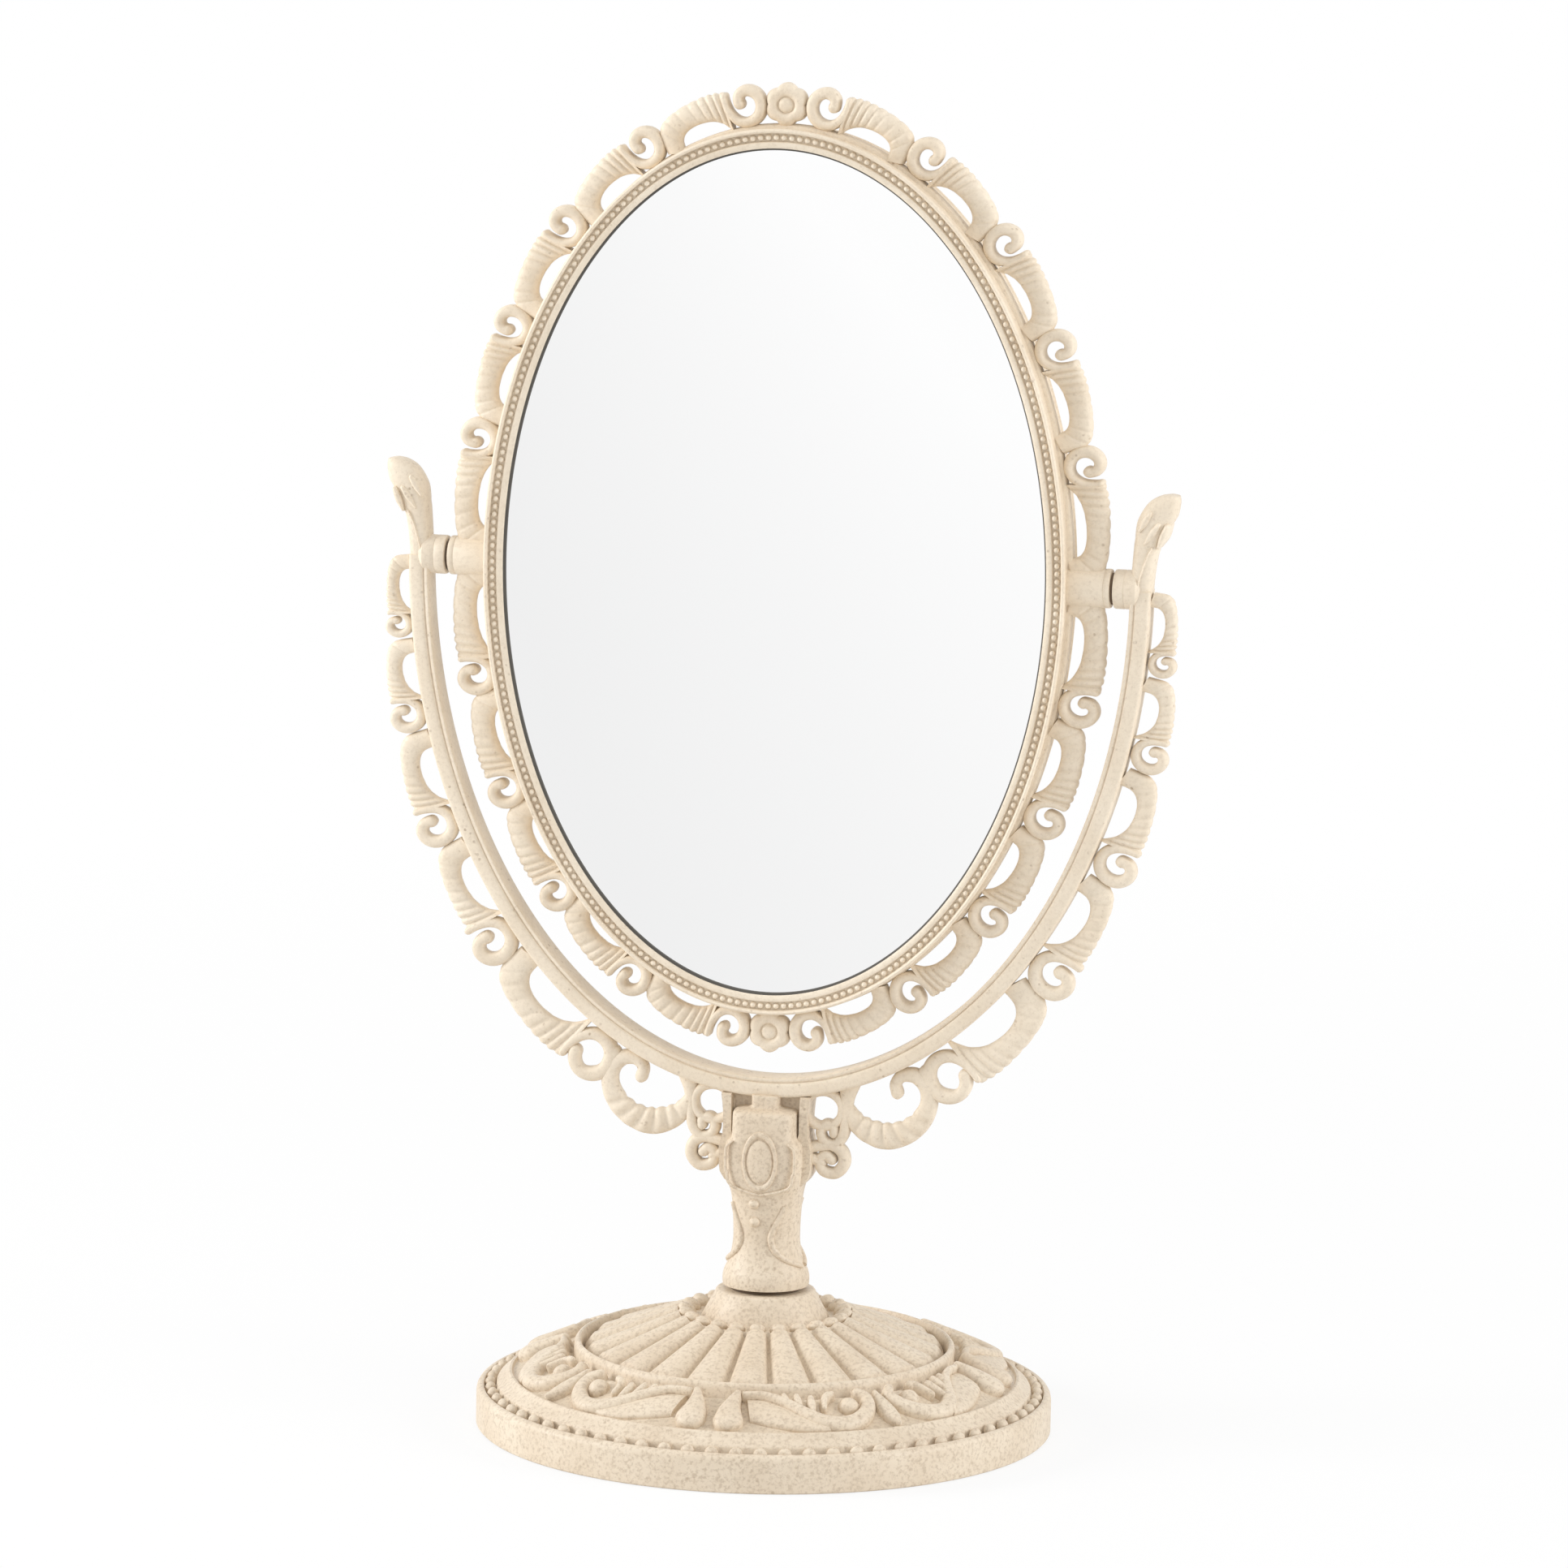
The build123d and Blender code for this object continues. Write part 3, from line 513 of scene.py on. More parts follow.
# Stand-off from the rim's oval, front
EDGE_PROFILE = (
    (LIP_INSET, EDGE_FRONT + EDGE_TUCK),
    (LIP_INSET - EDGE_EASE, EDGE_FRONT),
    (EDGE_INSET, EDGE_FRONT - EDGE_FALL),
    (EDGE_INSET, SILVER_FACE - EDGE_SINK),
    (GLASS_INSET, SILVER_FACE - EDGE_SINK),
    (GLASS_INSET, SEAM),
)
for side, name, node in ((1, "front_glass", "front_mirror"), (-1, "rear_glass", "rear_mirror")):
    rings = []
    for share, depth in GLASS_RINGS:
        reach_x, reach_z = GLASS_X * share, GLASS_Z * share
        ring = []
        for turn in turns(240):
            ring.append(head_point(reach_x * math.sin(turn), reach_z * math.cos(turn), side * depth))
        rings.append(ring)
    Form().loft(rings).piece(name, "mirror_head", mirror_silver, node, slot="mirror_glass", crease=30)
    # Ring between the lip and the glass, near-black: painted shade of the recess
    edge = oval_ring([(d, side * front) for d, front in EDGE_PROFILE], steps=300)
    edge.piece(name + "_edge", "mirror_head", painted_shade_edge, slot="mirror_glass")

# Border of scrolls and ribbed leaves

# Path of a C scroll round its centre: angle from the way ahead, share of the radius, half width as a share
SCROLL_KNOTS = (
    (33, 1.14, 0.17),
    (16, 1.0, 0.19),
    (-4, 0.91, 0.21),
    (-38, 0.825, 0.24),
    (-90, 0.745, 0.28),
    (-140, 0.725, 0.295),
    (-190, 0.715, 0.30),
    (-235, 0.71, 0.30),
    (-268, 0.69, 0.295),
    (-297, 0.60, 0.28),
    (-318, 0.47, 0.27),
    (-336, 0.36, 0.29),
)
# The lowest scroll of the arm stays open
LOOP_KNOTS = (
    *SCROLL_KNOTS[:8],
    (-272, 0.75, 0.26),
    (-305, 0.72, 0.26),
    (-335, 0.68, 0.27),
)
SCROLL_ALONG, SCROLL_ACROSS = 0.93, 1.08
SCROLL_SWELL = 1.06
# Leaf edges: share of its length, share of its height
LEAF_OUTER = (
    (0.01, 0.96),
    (0.14, 1.0),
    (0.28, 1.0),
    (0.43, 0.98),
    (0.6, 0.95),
    (0.77, 0.9),
    (0.92, 0.81),
    (1.02, 0.6),
    (1.06, 0.1),
)
LEAF_INNER = (
    (-0.02, -0.12),
    (0.1, 0.5),
    (0.24, 0.85),
    (0.38, 0.98),
    (0.53, 1.0),
    (0.67, 0.88),
    (0.76, 0.6),
    (0.79, 0.22),
    (0.79, -0.14),
)
# Ribs across the leaf's start, and the steps of its outer edge: share of its length, depth
LEAF_RIBS = (
    (0.06, 0.3),
    (0.145, 0.3),
    (0.23, 0.27),
    (0.325, 0.2),
    (0.43, 0.15),
    (0.56, 0.12),
    (0.69, 0.11),
    (0.82, 0.09),
)
LEAF_SLANT, LEAF_GROOVE = 0.02, 0.02


def scroll(oval, run, out, radius, depth, knots=SCROLL_KNOTS):
    """C scroll beside an oval, hooked in from its outer side."""
    turn, reach, width = curve(knots, 72).T
    angle = np.radians(turn)
    along = SCROLL_ALONG * radius * reach * np.cos(angle)
    path = oval.at(run + along, out + SCROLL_ACROSS * radius * reach * np.sin(angle))
    swell = np.linspace(1.0, SCROLL_SWELL, len(path))
    return stroke(path, radius * width, depth * swell)


def leaf(oval, start, end, height, lens, depth):
    """Leaf that follows a scroll, ribbed at its start, with its tail bent down to the oval."""
    outer_place, outer_rise = curve(LEAF_OUTER, 110).T
    inner_place, inner_rise = curve(LEAF_INNER, 110).T
    outer = oval.at(start + (end - start) * outer_place, height * outer_rise)
    inner = oval.at(start + (end - start) * inner_place, lens * inner_rise)
    return ribbon(inner, outer, depth, LEAF_RIBS, slant=LEAF_SLANT, groove_width=LEAF_GROOVE)


FRAME_DEPTH = 2.45
FRAME_LEAF_DEPTH = 0.92 * FRAME_DEPTH
SCROLL_RADIUS = 4.75
SCROLL_OUT = 5.3
FIRST_RUN = 8.6
UNITS = 5
SPREAD = 0.017
BOSS_LAP = 2.1
LEAF_HEIGHT = 9.8
LEAF_LENS = 0.4
LEAF_START, LEAF_END = 0.86, 0.94
pitch = (rim_oval.quarter - FIRST_RUN) / UNITS
unit_runs = [FIRST_RUN + i * pitch * (1 + SPREAD * (i - UNITS)) for i in range(UNITS)]
next_runs = [*unit_runs[1:], rim_oval.quarter + BOSS_LAP]
quarter = Form()
for run, next_run in zip(unit_runs, next_runs):
    quarter.add(scroll(rim_oval, run, SCROLL_OUT, SCROLL_RADIUS, FRAME_DEPTH))
    start = run + LEAF_START * SCROLL_RADIUS
    end = next_run - LEAF_END * SCROLL_RADIUS
    quarter.add(leaf(rim_oval, start, end, LEAF_HEIGHT, LEAF_LENS * LEAF_HEIGHT, FRAME_LEAF_DEPTH))
border = Form()
for across in (1, -1):
    for up in (1, -1):
        border.add(quarter, lambda x, y, front: head_point(across * x, up * y, front))
# Fillet that carries the border on the drum: stand-off, front
FILLET = ((-0.9, 1.9), (0.3, 1.75), (0.6, 1.2), (0.7, 0.0), (0.6, -1.2), (0.3, -1.75), (-0.9, -1.9))
border.add(oval_ring(FILLET))
border.piece("frame_scrolls", "mirror_head", plastic)

# Rosettes at the top and bottom: a lobed disc with a button in a ring groove
ROSETTE_OUT = 5.05
ROSETTE_RADIUS, LOBE, LOBES = 4.45, 0.72, 6
# Share of the reach, front
ROSETTE_PROFILE = (
    (1.0, 0.0),
    (0.995, 1.0),
    (0.96, 1.75),
    (0.89, 2.25),
    (0.79, 2.45),
    (0.66, 2.45),
    (0.55, 2.3),
    (0.475, 1.9),
    (0.43, 1.65),
    (0.385, 1.85),
    (0.32, 2.2),
    (0.2, 2.4),
    (0.01, 2.48),
)
rosette = Form()
for side in (1, -1):
    rings = []
    for share, rise in ROSETTE_PROFILE:
        ring = []
        for turn in turns(144):
            lobe = LOBE * abs(math.cos(LOBES / 2 * (turn - math.pi / 2))) * share**4
            reach = share * (ROSETTE_RADIUS + lobe)
            ring.append((reach * math.cos(turn), reach * math.sin(turn), side * rise))
        rings.append(ring)
    rosette.loft(rings)
rosettes = Form()
for up in (1, -1):
    rosettes.add(rosette, lambda x, y, front: head_point(x, up * (RIM_Z + ROSETTE_OUT + y), front))
rosettes.piece("frame_rosettes", "mirror_head", plastic)

# Pivot bosses


def boss(profile, side):
    """Profile of reach along X and radius, turned about the pivots' axis."""
    rings = []
    for turn in turns(72):
        rings.append([(side * x, r * math.cos(turn), PIVOT + r * math.sin(turn)) for x, r in profile])
    return Form().loft(rings, closed=True)


def both_bosses(profile):
    return boss(profile, 1).add(boss(profile, -1))


FRAME_BOSS = (
    (68.2, BUSH_RADIUS),
    (68.2, BOSS_RADIUS),
    (77.6, BOSS_RADIUS),
    (77.8, BOSS_RADIUS - 0.14),
    (78.0, BOSS_RADIUS),
    (FRAME_BOSS_FACE - 0.45, BOSS_RADIUS),
    (FRAME_BOSS_FACE - 0.12, BOSS_RADIUS - 0.12),
    (FRAME_BOSS_FACE, BOSS_RADIUS - 0.4),
    (FRAME_BOSS_FACE, BUSH_RADIUS),
)
YOKE_BOSS = (
    (YOKE_BOSS_FACE, PIN_RADIUS),
    (YOKE_BOSS_FACE, BOSS_RADIUS - 0.4),
    (YOKE_BOSS_FACE + 0.12, BOSS_RADIUS - 0.12),
    (YOKE_BOSS_FACE + 0.45, BOSS_RADIUS),
    (82.4, BOSS_RADIUS),
    (82.6, BOSS_RADIUS - 0.14),
    (82.8, BOSS_RADIUS),
    (85.4, BOSS_RADIUS),
    (86.4, BOSS_RADIUS - 0.9),
    (86.4, PIN_RADIUS),
)
both_bosses(FRAME_BOSS).piece("frame_bosses", "mirror_head", plastic)
both_bosses(YOKE_BOSS).piece("yoke_bosses", "upright", plastic)

# Yoke: flat-faced band with a line near its inner edge

yoke_oval = Oval(YOKE_IN_X + BAND, YOKE_IN_Z + BAND)


def yoke_point(x, down, front):
    return (x, -front, PIVOT - down)


# Stand-off from the inner edge, front
BAND_FACE = (
    (0.0, 3.0),
    (0.08, 3.35),
    (0.3, 3.6),
    (0.75, 3.62),
    (1.0, 3.45),
    (1.12, 3.2),
    (1.26, 3.2),
    (1.38, 3.5),
    (1.65, 3.7),
    (2.2, 3.75),
    (3.9, 3.75),
    (4.4, 3.62),
    (4.7, 3.25),
    (4.8, 2.7),
)
band_loop = [*BAND_FACE, *[(d, -front) for d, front in reversed(BAND_FACE)]]
yoke = Form()
rings = []
for turn in np.linspace(-math.pi / 2, math.pi / 2, 241):
    s, c = math.sin(turn), math.cos(turn)
    rings.append([yoke_point((YOKE_IN_X + d) * s, (YOKE_IN_Z + d) * c, front) for d, front in band_loop])
yoke.loft(rings)

# Finial: a stalk that ends in a slanted bud with its sepals. Edges across, up from the pivots
STALK_INNER = ((84.0, -0.5), (83.95, 4.0), (84.2, 8.5), (84.5, 12.0), (85.2, 15.5), (86.5, 17.5))
STALK_OUTER = ((88.9, -0.5), (89.3, 4.0), (89.9, 8.0), (90.8, 11.2), (91.9, 14.0), (92.9, 16.0))
# Bud: its inner edge across and up, its outer edge across and up, half depth
BUD = (
    (84.5, 12.2, 91.2, 11.8, 2.9),
    (84.6, 14.0, 92.1, 14.0, 3.4),
    (85.0, 16.4, 93.3, 15.9, 3.7),
    (86.2, 18.9, 94.3, 17.6, 3.75),
    (87.9, 21.0, 94.7, 19.4, 3.6),
    (90.2, 22.3, 94.85, 21.0, 3.1),
    (92.3, 22.7, 94.7, 22.3, 2.2),
)
# Sepals and the vein that runs on from the band's line: across, up, half width
SEPALS = (
    ((88.4, 18.4, 0.8), (87.2, 16.4, 1.25), (85.9, 14.2, 0.5)),
    ((90.4, 15.8, 0.8), (88.9, 13.6, 1.3), (87.2, 11.2, 0.5)),
    ((92.3, 15.4, 0.8), (91.4, 13.0, 1.1), (90.4, 10.6, 0.5)),
)
VEIN = ((85.4, -0.5, 0.35), (86.0, 2.0, 0.4), (86.8, 5.0, 0.42), (87.8, 8.0, 0.4), (89.0, 10.4, 0.3))
STALK_DEPTH = 3.6
SEPAL_BASE_DEPTH, SEPAL_TIP_DEPTH = 4.3, 3.9
VEIN_DEPTH = 3.95
finial = ribbon(curve(STALK_INNER, 60), curve(STALK_OUTER, 60), STALK_DEPTH)
bud_rows = curve(BUD, 60)
finial.add(ribbon(bud_rows[:, :2], bud_rows[:, 2:4], bud_rows[:, 4]))
for knots in SEPALS:
    finial.add(trace(knots, np.linspace(SEPAL_BASE_DEPTH, SEPAL_TIP_DEPTH, 24), 24))
finial.add(trace(VEIN, VEIN_DEPTH, 40))

# Scrolls of the arm from the bottom up: share of its length, stand-off, radius, leaf height
ARM_SCROLLS = (
    (0.247, 6.9, 6.1, 13.0),
    (0.445, 6.1, 5.7, 10.4),
    (0.618, 5.7, 5.1, 10.0),
    (0.774, 4.8, 4.3, 8.5),
    (0.900, 3.7, 3.2, 6.5),
)
ARM_DEPTH = 1.95
ARM_LEAF_DEPTH = 0.94 * ARM_DEPTH
ARM_LENS = 0.52
# The topmost leaf runs on nearly to the finial's foot
LAST_LEAF_END = 0.35
arm = Form()
ends = [place for place, _, _, _ in ARM_SCROLLS[1:]] + [1.0]
for (place, out, radius, height), end in zip(ARM_SCROLLS, ends):
    run = place * yoke_oval.quarter
    is_lowest = place == ARM_SCROLLS[0][0]
    gap = LAST_LEAF_END if end == 1.0 else LEAF_END
    arm.add(scroll(yoke_oval, run, out, radius, ARM_DEPTH, LOOP_KNOTS if is_lowest else SCROLL_KNOTS))
    leaf_start = run + LEAF_START * radius
    leaf_end = end * yoke_oval.quarter - gap * radius
    arm.add(leaf(yoke_oval, leaf_start, leaf_end, height, ARM_LENS * height, ARM_LEAF_DEPTH))

# Bow and curls beside the column: across, down from the pivots, half width
BOW = (
    (31.0, 122.2, 1.5),
    (30.6, 120.0, 1.4),
    (32.3, 118.0, 1.6),
    (35.6, 118.0, 1.9),
    (38.2, 120.6, 2.05),
    (38.6, 124.4, 2.15),
    (36.9, 128.3, 2.6),
    (33.2, 131.5, 3.0),
    (28.4, 132.8, 3.3),
    (23.8, 131.6, 2.9),
    (20.6, 129.2, 2.2),
    (18.9, 126.6, 1.6),
)
BOW_RIBS = ((0.5, 0.3), (0.57, 0.32), (0.64, 0.34), (0.71, 0.34), (0.78, 0.34), (0.85, 0.3))
BOW_SLANT = 0.03
bow = curve(BOW, 130)
bow_way = directions(bow[:, :2])
bow_side = np.stack([-bow_way[:, 1], bow_way[:, 0]], -1) * bow[:, 2:]
# Points of the bow that make its plain hook, and the swell there
HOOK, HOOK_SWELL = 14, 1.04
arm.add(stroke(bow[:HOOK, :2], bow[:HOOK, 2], ARM_DEPTH * HOOK_SWELL, ends=(True, False)))
bow_inner = (bow[:, :2] - bow_side)[HOOK - 1 :]
bow_outer = (bow[:, :2] + bow_side)[HOOK - 1 :]
arm.add(ribbon(bow_inner, bow_outer, ARM_DEPTH, BOW_RIBS, slant=BOW_SLANT))
# The hole's rim is two half rings, which lap a little
HOLE_X, HOLE_DOWN = 13.4, 127.2
HOLE_REACH_X, HOLE_REACH_DOWN = 4.6, 4.2
HOLE_WIDTH, HOLE_LAP = 1.15, 1.05
hole_rim = []
for start in (0.0, math.pi):
    knots = []
    for turn in np.linspace(start, start + math.pi * HOLE_LAP, 9):
        x = HOLE_X + HOLE_REACH_X * math.cos(turn)
        down = HOLE_DOWN + HOLE_REACH_DOWN * math.sin(turn)
        knots.append((x, down, HOLE_WIDTH))
    hole_rim.append(knots)
CURLS = (
    # Strand from the band down to the upper curl, which winds in
    (
        (19.6, 120.6, 2.6),
        (19.0, 124.0, 1.8),
        (18.8, 127.2, 1.4),
        (18.7, 130.2, 1.35),
        (18.2, 133.2, 1.35),
        (16.4, 135.4, 1.35),
        (13.9, 135.0, 1.3),
        (12.8, 132.8, 1.3),
        (14.0, 130.8, 1.25),
        (15.9, 131.4, 1.25),
        (16.0, 132.8, 1.3),
    ),
    # Rim of the round hole between the band, the column and the strand
    *hole_rim,
    # Lower curl, from the column's ear
    (
        (10.4, 136.6, 1.4),
        (13.2, 136.0, 1.4),
        (15.6, 135.8, 1.4),
        (18.0, 137.2, 1.45),
        (18.5, 140.0, 1.5),
        (16.6, 142.4, 1.45),
        (13.6, 142.0, 1.4),
        (12.7, 139.6, 1.35),
        (14.2, 138.2, 1.35),
        (15.5, 139.2, 1.4),
    ),
    # Bracket from the lower curl to the column
    ((10.2, 139.2, 1.5), (11.8, 139.5, 1.4), (13.4, 140.0, 1.1)),
    # Web between the bow and the loop
    ((37.8, 117.0, 1.9), (39.3, 119.6, 1.6), (40.3, 121.8, 1.2)),
)
for curl_knots in CURLS:
    arm.add(trace(curl_knots, ARM_DEPTH, 72))
for side in (1, -1):
    yoke.add(finial, lambda x, up, front: yoke_point(side * x, -up, front))
    yoke.add(arm, lambda x, down, front: yoke_point(side * x, down, front))
yoke.piece("yoke_arm", "upright", plastic, "yoke")

# Column: a round foot that turns into the flat-faced cartouche and the neck.
# Height, half width, half depth, squareness
COLUMN = (
    (34.25, 9.9, 9.9, 1.0),
    (34.3, 10.2, 10.2, 1.0),
    (35.2, 10.3, 10.3, 1.0),
    (36.4, 10.25, 10.25, 1.0),
    (37.7, 9.95, 9.95, 1.0),
    (39.4, 9.2, 9.2, 1.0),
    (41.8, 8.4, 8.4, 1.0),
    (45.0, 7.95, 7.95, 1.0),
    (48.5, 7.95, 7.95, 1.0),
    (52.5, 8.15, 8.15, 0.98),
    (55.5, 8.4, 8.45, 0.92),
    (57.2, 8.6, 8.6, 0.8),
    (58.6, 8.8, 8.75, 0.66),
    (61.5, 9.2, 8.9, 0.5),
    (65.0, 9.3, 8.9, 0.42),
    (68.4, 9.2, 8.9, 0.4),
    (69.6, 8.6, 8.88, 0.4),
    (70.6, 7.8, 8.85, 0.4),
    (73.0, 7.65, 8.8, 0.4),
    (75.6, 7.6, 8.65, 0.4),
    (76.6, 7.4, 8.2, 0.4),
    (77.1, 6.6, 7.2, 0.42),
    (77.4, 4.4, 6.0, 0.42),
    (77.8, 3.5, 5.6, 0.4),
    (78.8, 3.4, 5.5, 0.4),
    (80.2, 3.4, 5.5, 0.4),
    (80.4, 3.2, 5.3, 0.4),
)
COLUMN_TABLE = curve(COLUMN, 260)
COLUMN_LEVELS = COLUMN_TABLE[:, 0]


def column_point(level, turn):
    """Point on the column's side."""
    half_width, half_depth, square = (np.interp(level, COLUMN_LEVELS, row) for row in COLUMN_TABLE.T[1:])
    x = half_width * flatten(np.sin(turn), square)
    y = -half_depth * flatten(np.cos(turn), square)
    return np.array([x, y, level])


column = Form()
column.loft([[tuple(column_point(level, turn)) for turn in turns(128)] for level in COLUMN_LEVELS])
# Spigot in the collar
SPIGOT = 6.0
SPIGOT_FOOT, SPIGOT_TOP = 12.0, 34.5
column.loft([circle(SPIGOT, level, 64) for level in (SPIGOT_FOOT, SPIGOT_TOP)])

# Side rails with ears, beside the cartouche: half outline of across and height
RAIL = (
    (6.0, 59.0),
    (8.4, 58.6),
    (9.8, 59.6),
    (10.8, 61.2),
    (11.1, 63.0),
    (11.1, 65.4),
    (11.15, 67.6),
    (10.7, 69.2),
    (10.3, 70.6),
    (10.2, 73.0),
    (10.2, 75.6),
    (10.4, 78.0),
    (10.7, 80.3),
    (8.3, 80.3),
    (8.2, 77.0),
    (8.15, 74.0),
    (8.15, 71.4),
    (7.6, 69.8),
    (5.6, 66.0),
    (5.6, 60.0),
)


SLAB_SHRINK = 0.97


def slab(outline, half_depth, ease):
    """Flat plate of an outline, with its edges eased."""
    outline = np.asarray(outline)
    middle = outline.mean(axis=0)
    rings = []
    for shrink, depth in ((SLAB_SHRINK, -1.0), (1.0, ease - 1), (1.0, 1 - ease), (SLAB_SHRINK, 1.0)):
        rings.append([(*(middle + (point - middle) * shrink), half_depth * depth) for point in outline])
    return Form().loft(rings)


rail = slab(RAIL, half_depth=4.0, ease=0.12)
for side in (1, -1):
    column.add(rail, lambda x, z, front: (side * x, -front, z))
# Web behind the pockets beside the neck
WEB = ((-9, 68), (9, 68), (9, 80.2), (-9, 80.2))
column.add(slab(WEB, half_depth=1.2, ease=0.1), lambda x, z, front: (x, -front, z))


# Turn in degrees to a neighbour on the column, which gives the way out of its face
NEAR_TURN = 2


def column_relief(knots, count, lift, face):
    """Raised line on the column's face: across the turn in degrees, height, half width."""
    path = curve(knots, count)
    back = 0 if face > 0 else math.pi
    points = np.array([column_point(level, math.radians(turn) + back) for turn, level, _ in path])
    rings = []
    for point, direction, (turn, level, width) in zip(points, directions(points), path):
        near = column_point(level, math.radians(turn + NEAR_TURN) + back) - point
        out = np.cross(near, (0, 0, 1.0))
        out /= np.linalg.norm(out)
        if out @ (point * (1, 1, 0)) < 0:
            out = -out
        side = np.cross(out, direction)
        rings.append([point + side * width * math.cos(a) + out * lift * math.sin(a) for a in turns(12)])
    return Form().loft(rings)


# The carving of the round shaft sits a little to the left of the front, as in the photograph
CARVING_TURN = -8.0
SWEEP_LIFT = 0.75
SWEEP = (
    (50, 54.4, 0.6),
    (42, 51.6, 0.75),
    (32, 48.8, 0.8),
    (28, 46.4, 0.8),
    (35, 43.8, 0.8),
    (54, 41.4, 0.75),
    (84, 39.4, 0.6),
)
for side in (1, -1):
    placed = [(side * turn + CARVING_TURN, level, width) for turn, level, width in SWEEP]
    for face in (1, -1):
        column.add(column_relief(placed, 56, SWEEP_LIFT, face))

# Oval medallion, beads, and the raised edge of the cartouche, front and back
MEDALLION = 65.3
MEDALLION_X, MEDALLION_Z = 4.35, 7.3
# Share of the medallion's reach, front: its rim, ring groove and domed middle
MEDALLION_PROFILE = (
    (1.0, 8.3),
    (0.995, 8.95),
    (0.96, 9.25),
    (0.9, 9.42),
    (0.83, 9.38),
    (0.78, 9.1),
    (0.755, 8.75),
    (0.735, 8.75),
    (0.71, 9.1),
    (0.66, 9.3),
    (0.4, 9.5),
    (0.01, 9.58),
)
face_relief = Form()
rings = []
for share, rise in MEDALLION_PROFILE:
    reach_x, reach_z = MEDALLION_X * share, MEDALLION_Z * share
    rings.append([(reach_x * math.cos(a), MEDALLION + reach_z * math.sin(a), rise) for a in turns(96)])
face_relief.loft(rings)
# Across, height, half width
CARTOUCHE_SIDE = (
    (6.9, 59.2, 0.3),
    (7.7, 60.4, 0.35),
    (7.9, 62.4, 0.35),
    (8.3, 63.2, 0.35),
    (8.3, 67.6, 0.35),
    (7.9, 68.8, 0.3),
    (6.8, 69.8, 0.25),
)
CARTOUCHE_FOOT = ((6.9, 59.2, 0.3), (4.6, 58.3, 0.35), (2.2, 57.7, 0.35), (0.0, 57.2, 0.35))
CARTOUCHE_FACE = 8.66
CARTOUCHE_LIFT = 0.42
for knots in (CARTOUCHE_SIDE, CARTOUCHE_FOOT):
    line = trace(knots, CARTOUCHE_LIFT, 60)
    for side in (1, -1):
        face_relief.add(line, lambda x, z, front: (side * x, z, CARTOUCHE_FACE + front))
BEAD_LEVELS = (55.0, 50.6)
BEAD_RADIUS, BEAD_HEIGHT = 1.3, 1.15
UPWARD = np.array((0, 0, 1.0))
for side in (1, -1):
    column.add(face_relief, lambda x, z, front: (x, -side * front, z))
    for level in BEAD_LEVELS:
        turn = math.radians(CARVING_TURN) + (0.0 if side > 0 else math.pi)
        seat = column_point(level, turn)
        across = np.array((math.cos(turn), math.sin(turn), 0.0))
        outward = np.array((math.sin(turn), -math.cos(turn), 0.0))
        column.add(pearl(seat, across, UPWARD, outward, BEAD_RADIUS, BEAD_RADIUS, BEAD_HEIGHT))
column.piece("column", "upright", speckled, "stem")

# Foot

WALL_TOP, RIM_TOP = 9.2, 66.8
SLOPE_TOP, SLOPE_END = 18.3, 45.2
FLUTES = 24
FLUTE_OUT, FLUTE_OUT_Z = 43.1, 19.2
FLUTE_IN, FLUTE_IN_Z = 20.8, 28.4
COLLAR = 15.4
FALL = (SLOPE_TOP - WALL_TOP) / (RIM_TOP - SLOPE_END)


def slope(radius):
    """Height of the foot's sloping band."""
    return WALL_TOP + (RIM_TOP - radius) * FALL


# Bead, sunk field and inner edge of that band: radius, height over the slope
SLOPE_FACE = (
    (61.6, 0.0),
    (61.25, 0.05),
    (60.95, 0.55),
    (60.4, 0.8),
    (59.85, 0.55),
    (59.5, -0.25),
    (59.2, -0.45),
    (53.0, -0.45),
    (47.2, -0.45),
    (46.5, -0.7),
)
# Radius and height, from the floor up the wall, in over the bead groove and the band, and back below
FOOT_PROFILE = (
    (BASE_RADIUS - 2.4, BASE_LIFT),
    (BASE_RADIUS - 0.3, BASE_LIFT),
    (BASE_RADIUS, BASE_LIFT + 0.3),
    (BASE_RADIUS, 7.6),
    (BASE_RADIUS - 0.12, 8.25),
    (BASE_RADIUS - 0.45, 8.8),
    (BASE_RADIUS - 0.95, 9.1),
    (RIM_TOP, WALL_TOP),
    (66.5, 9.15),
    (66.3, 8.7),
    (66.2, 7.6),
    (65.6, 6.9),
    (64.2, 6.9),
    (63.55, 7.6),
    (63.4, 9.6),
    (63.1, 10.15),
    (62.4, 10.55),
    *[(radius, slope(radius) + lift) for radius, lift in SLOPE_FACE],
    (46.1, 16.6),
    (45.6, 16.2),
    (45.25, 16.6),
    (45.2, 18.7),
    (45.0, 19.7),
    (44.6, 20.3),
    (44.2, 20.45),
    (43.8, 20.3),
    (43.45, 19.6),
    (43.25, 18.4),
    (43.2, 14.6),
    (47.0, 13.4),
    (63.0, 5.6),
    (65.8, 4.6),
)
foot = lathe(FOOT_PROFILE, 256)
# Fluted dome: flat-topped flutes with blunt round-cornered ends between narrow valleys
PER_FLUTE = 24
FLUTE_SPREAD = 0.92
FLUTE_RISE, VALLEY = 3.2, 2.8
CORNER = 0.4
FLUTE_SETBACK = 0.15
CROWN_POWER = 2.4
# Share of the flutes' rise at the axis, and what is added towards their outer end
AXIS_RISE, RISE_GAIN = 0.45, 0.55
# Rows are close together over the flutes' corners and wider apart further in
CORNER_END, LENGTH_START = 40.0, 39.4
corner_rows = np.linspace(FLUTE_OUT, CORNER_END, 18)
length_rows = np.linspace(LENGTH_START, FLUTE_IN, 16)
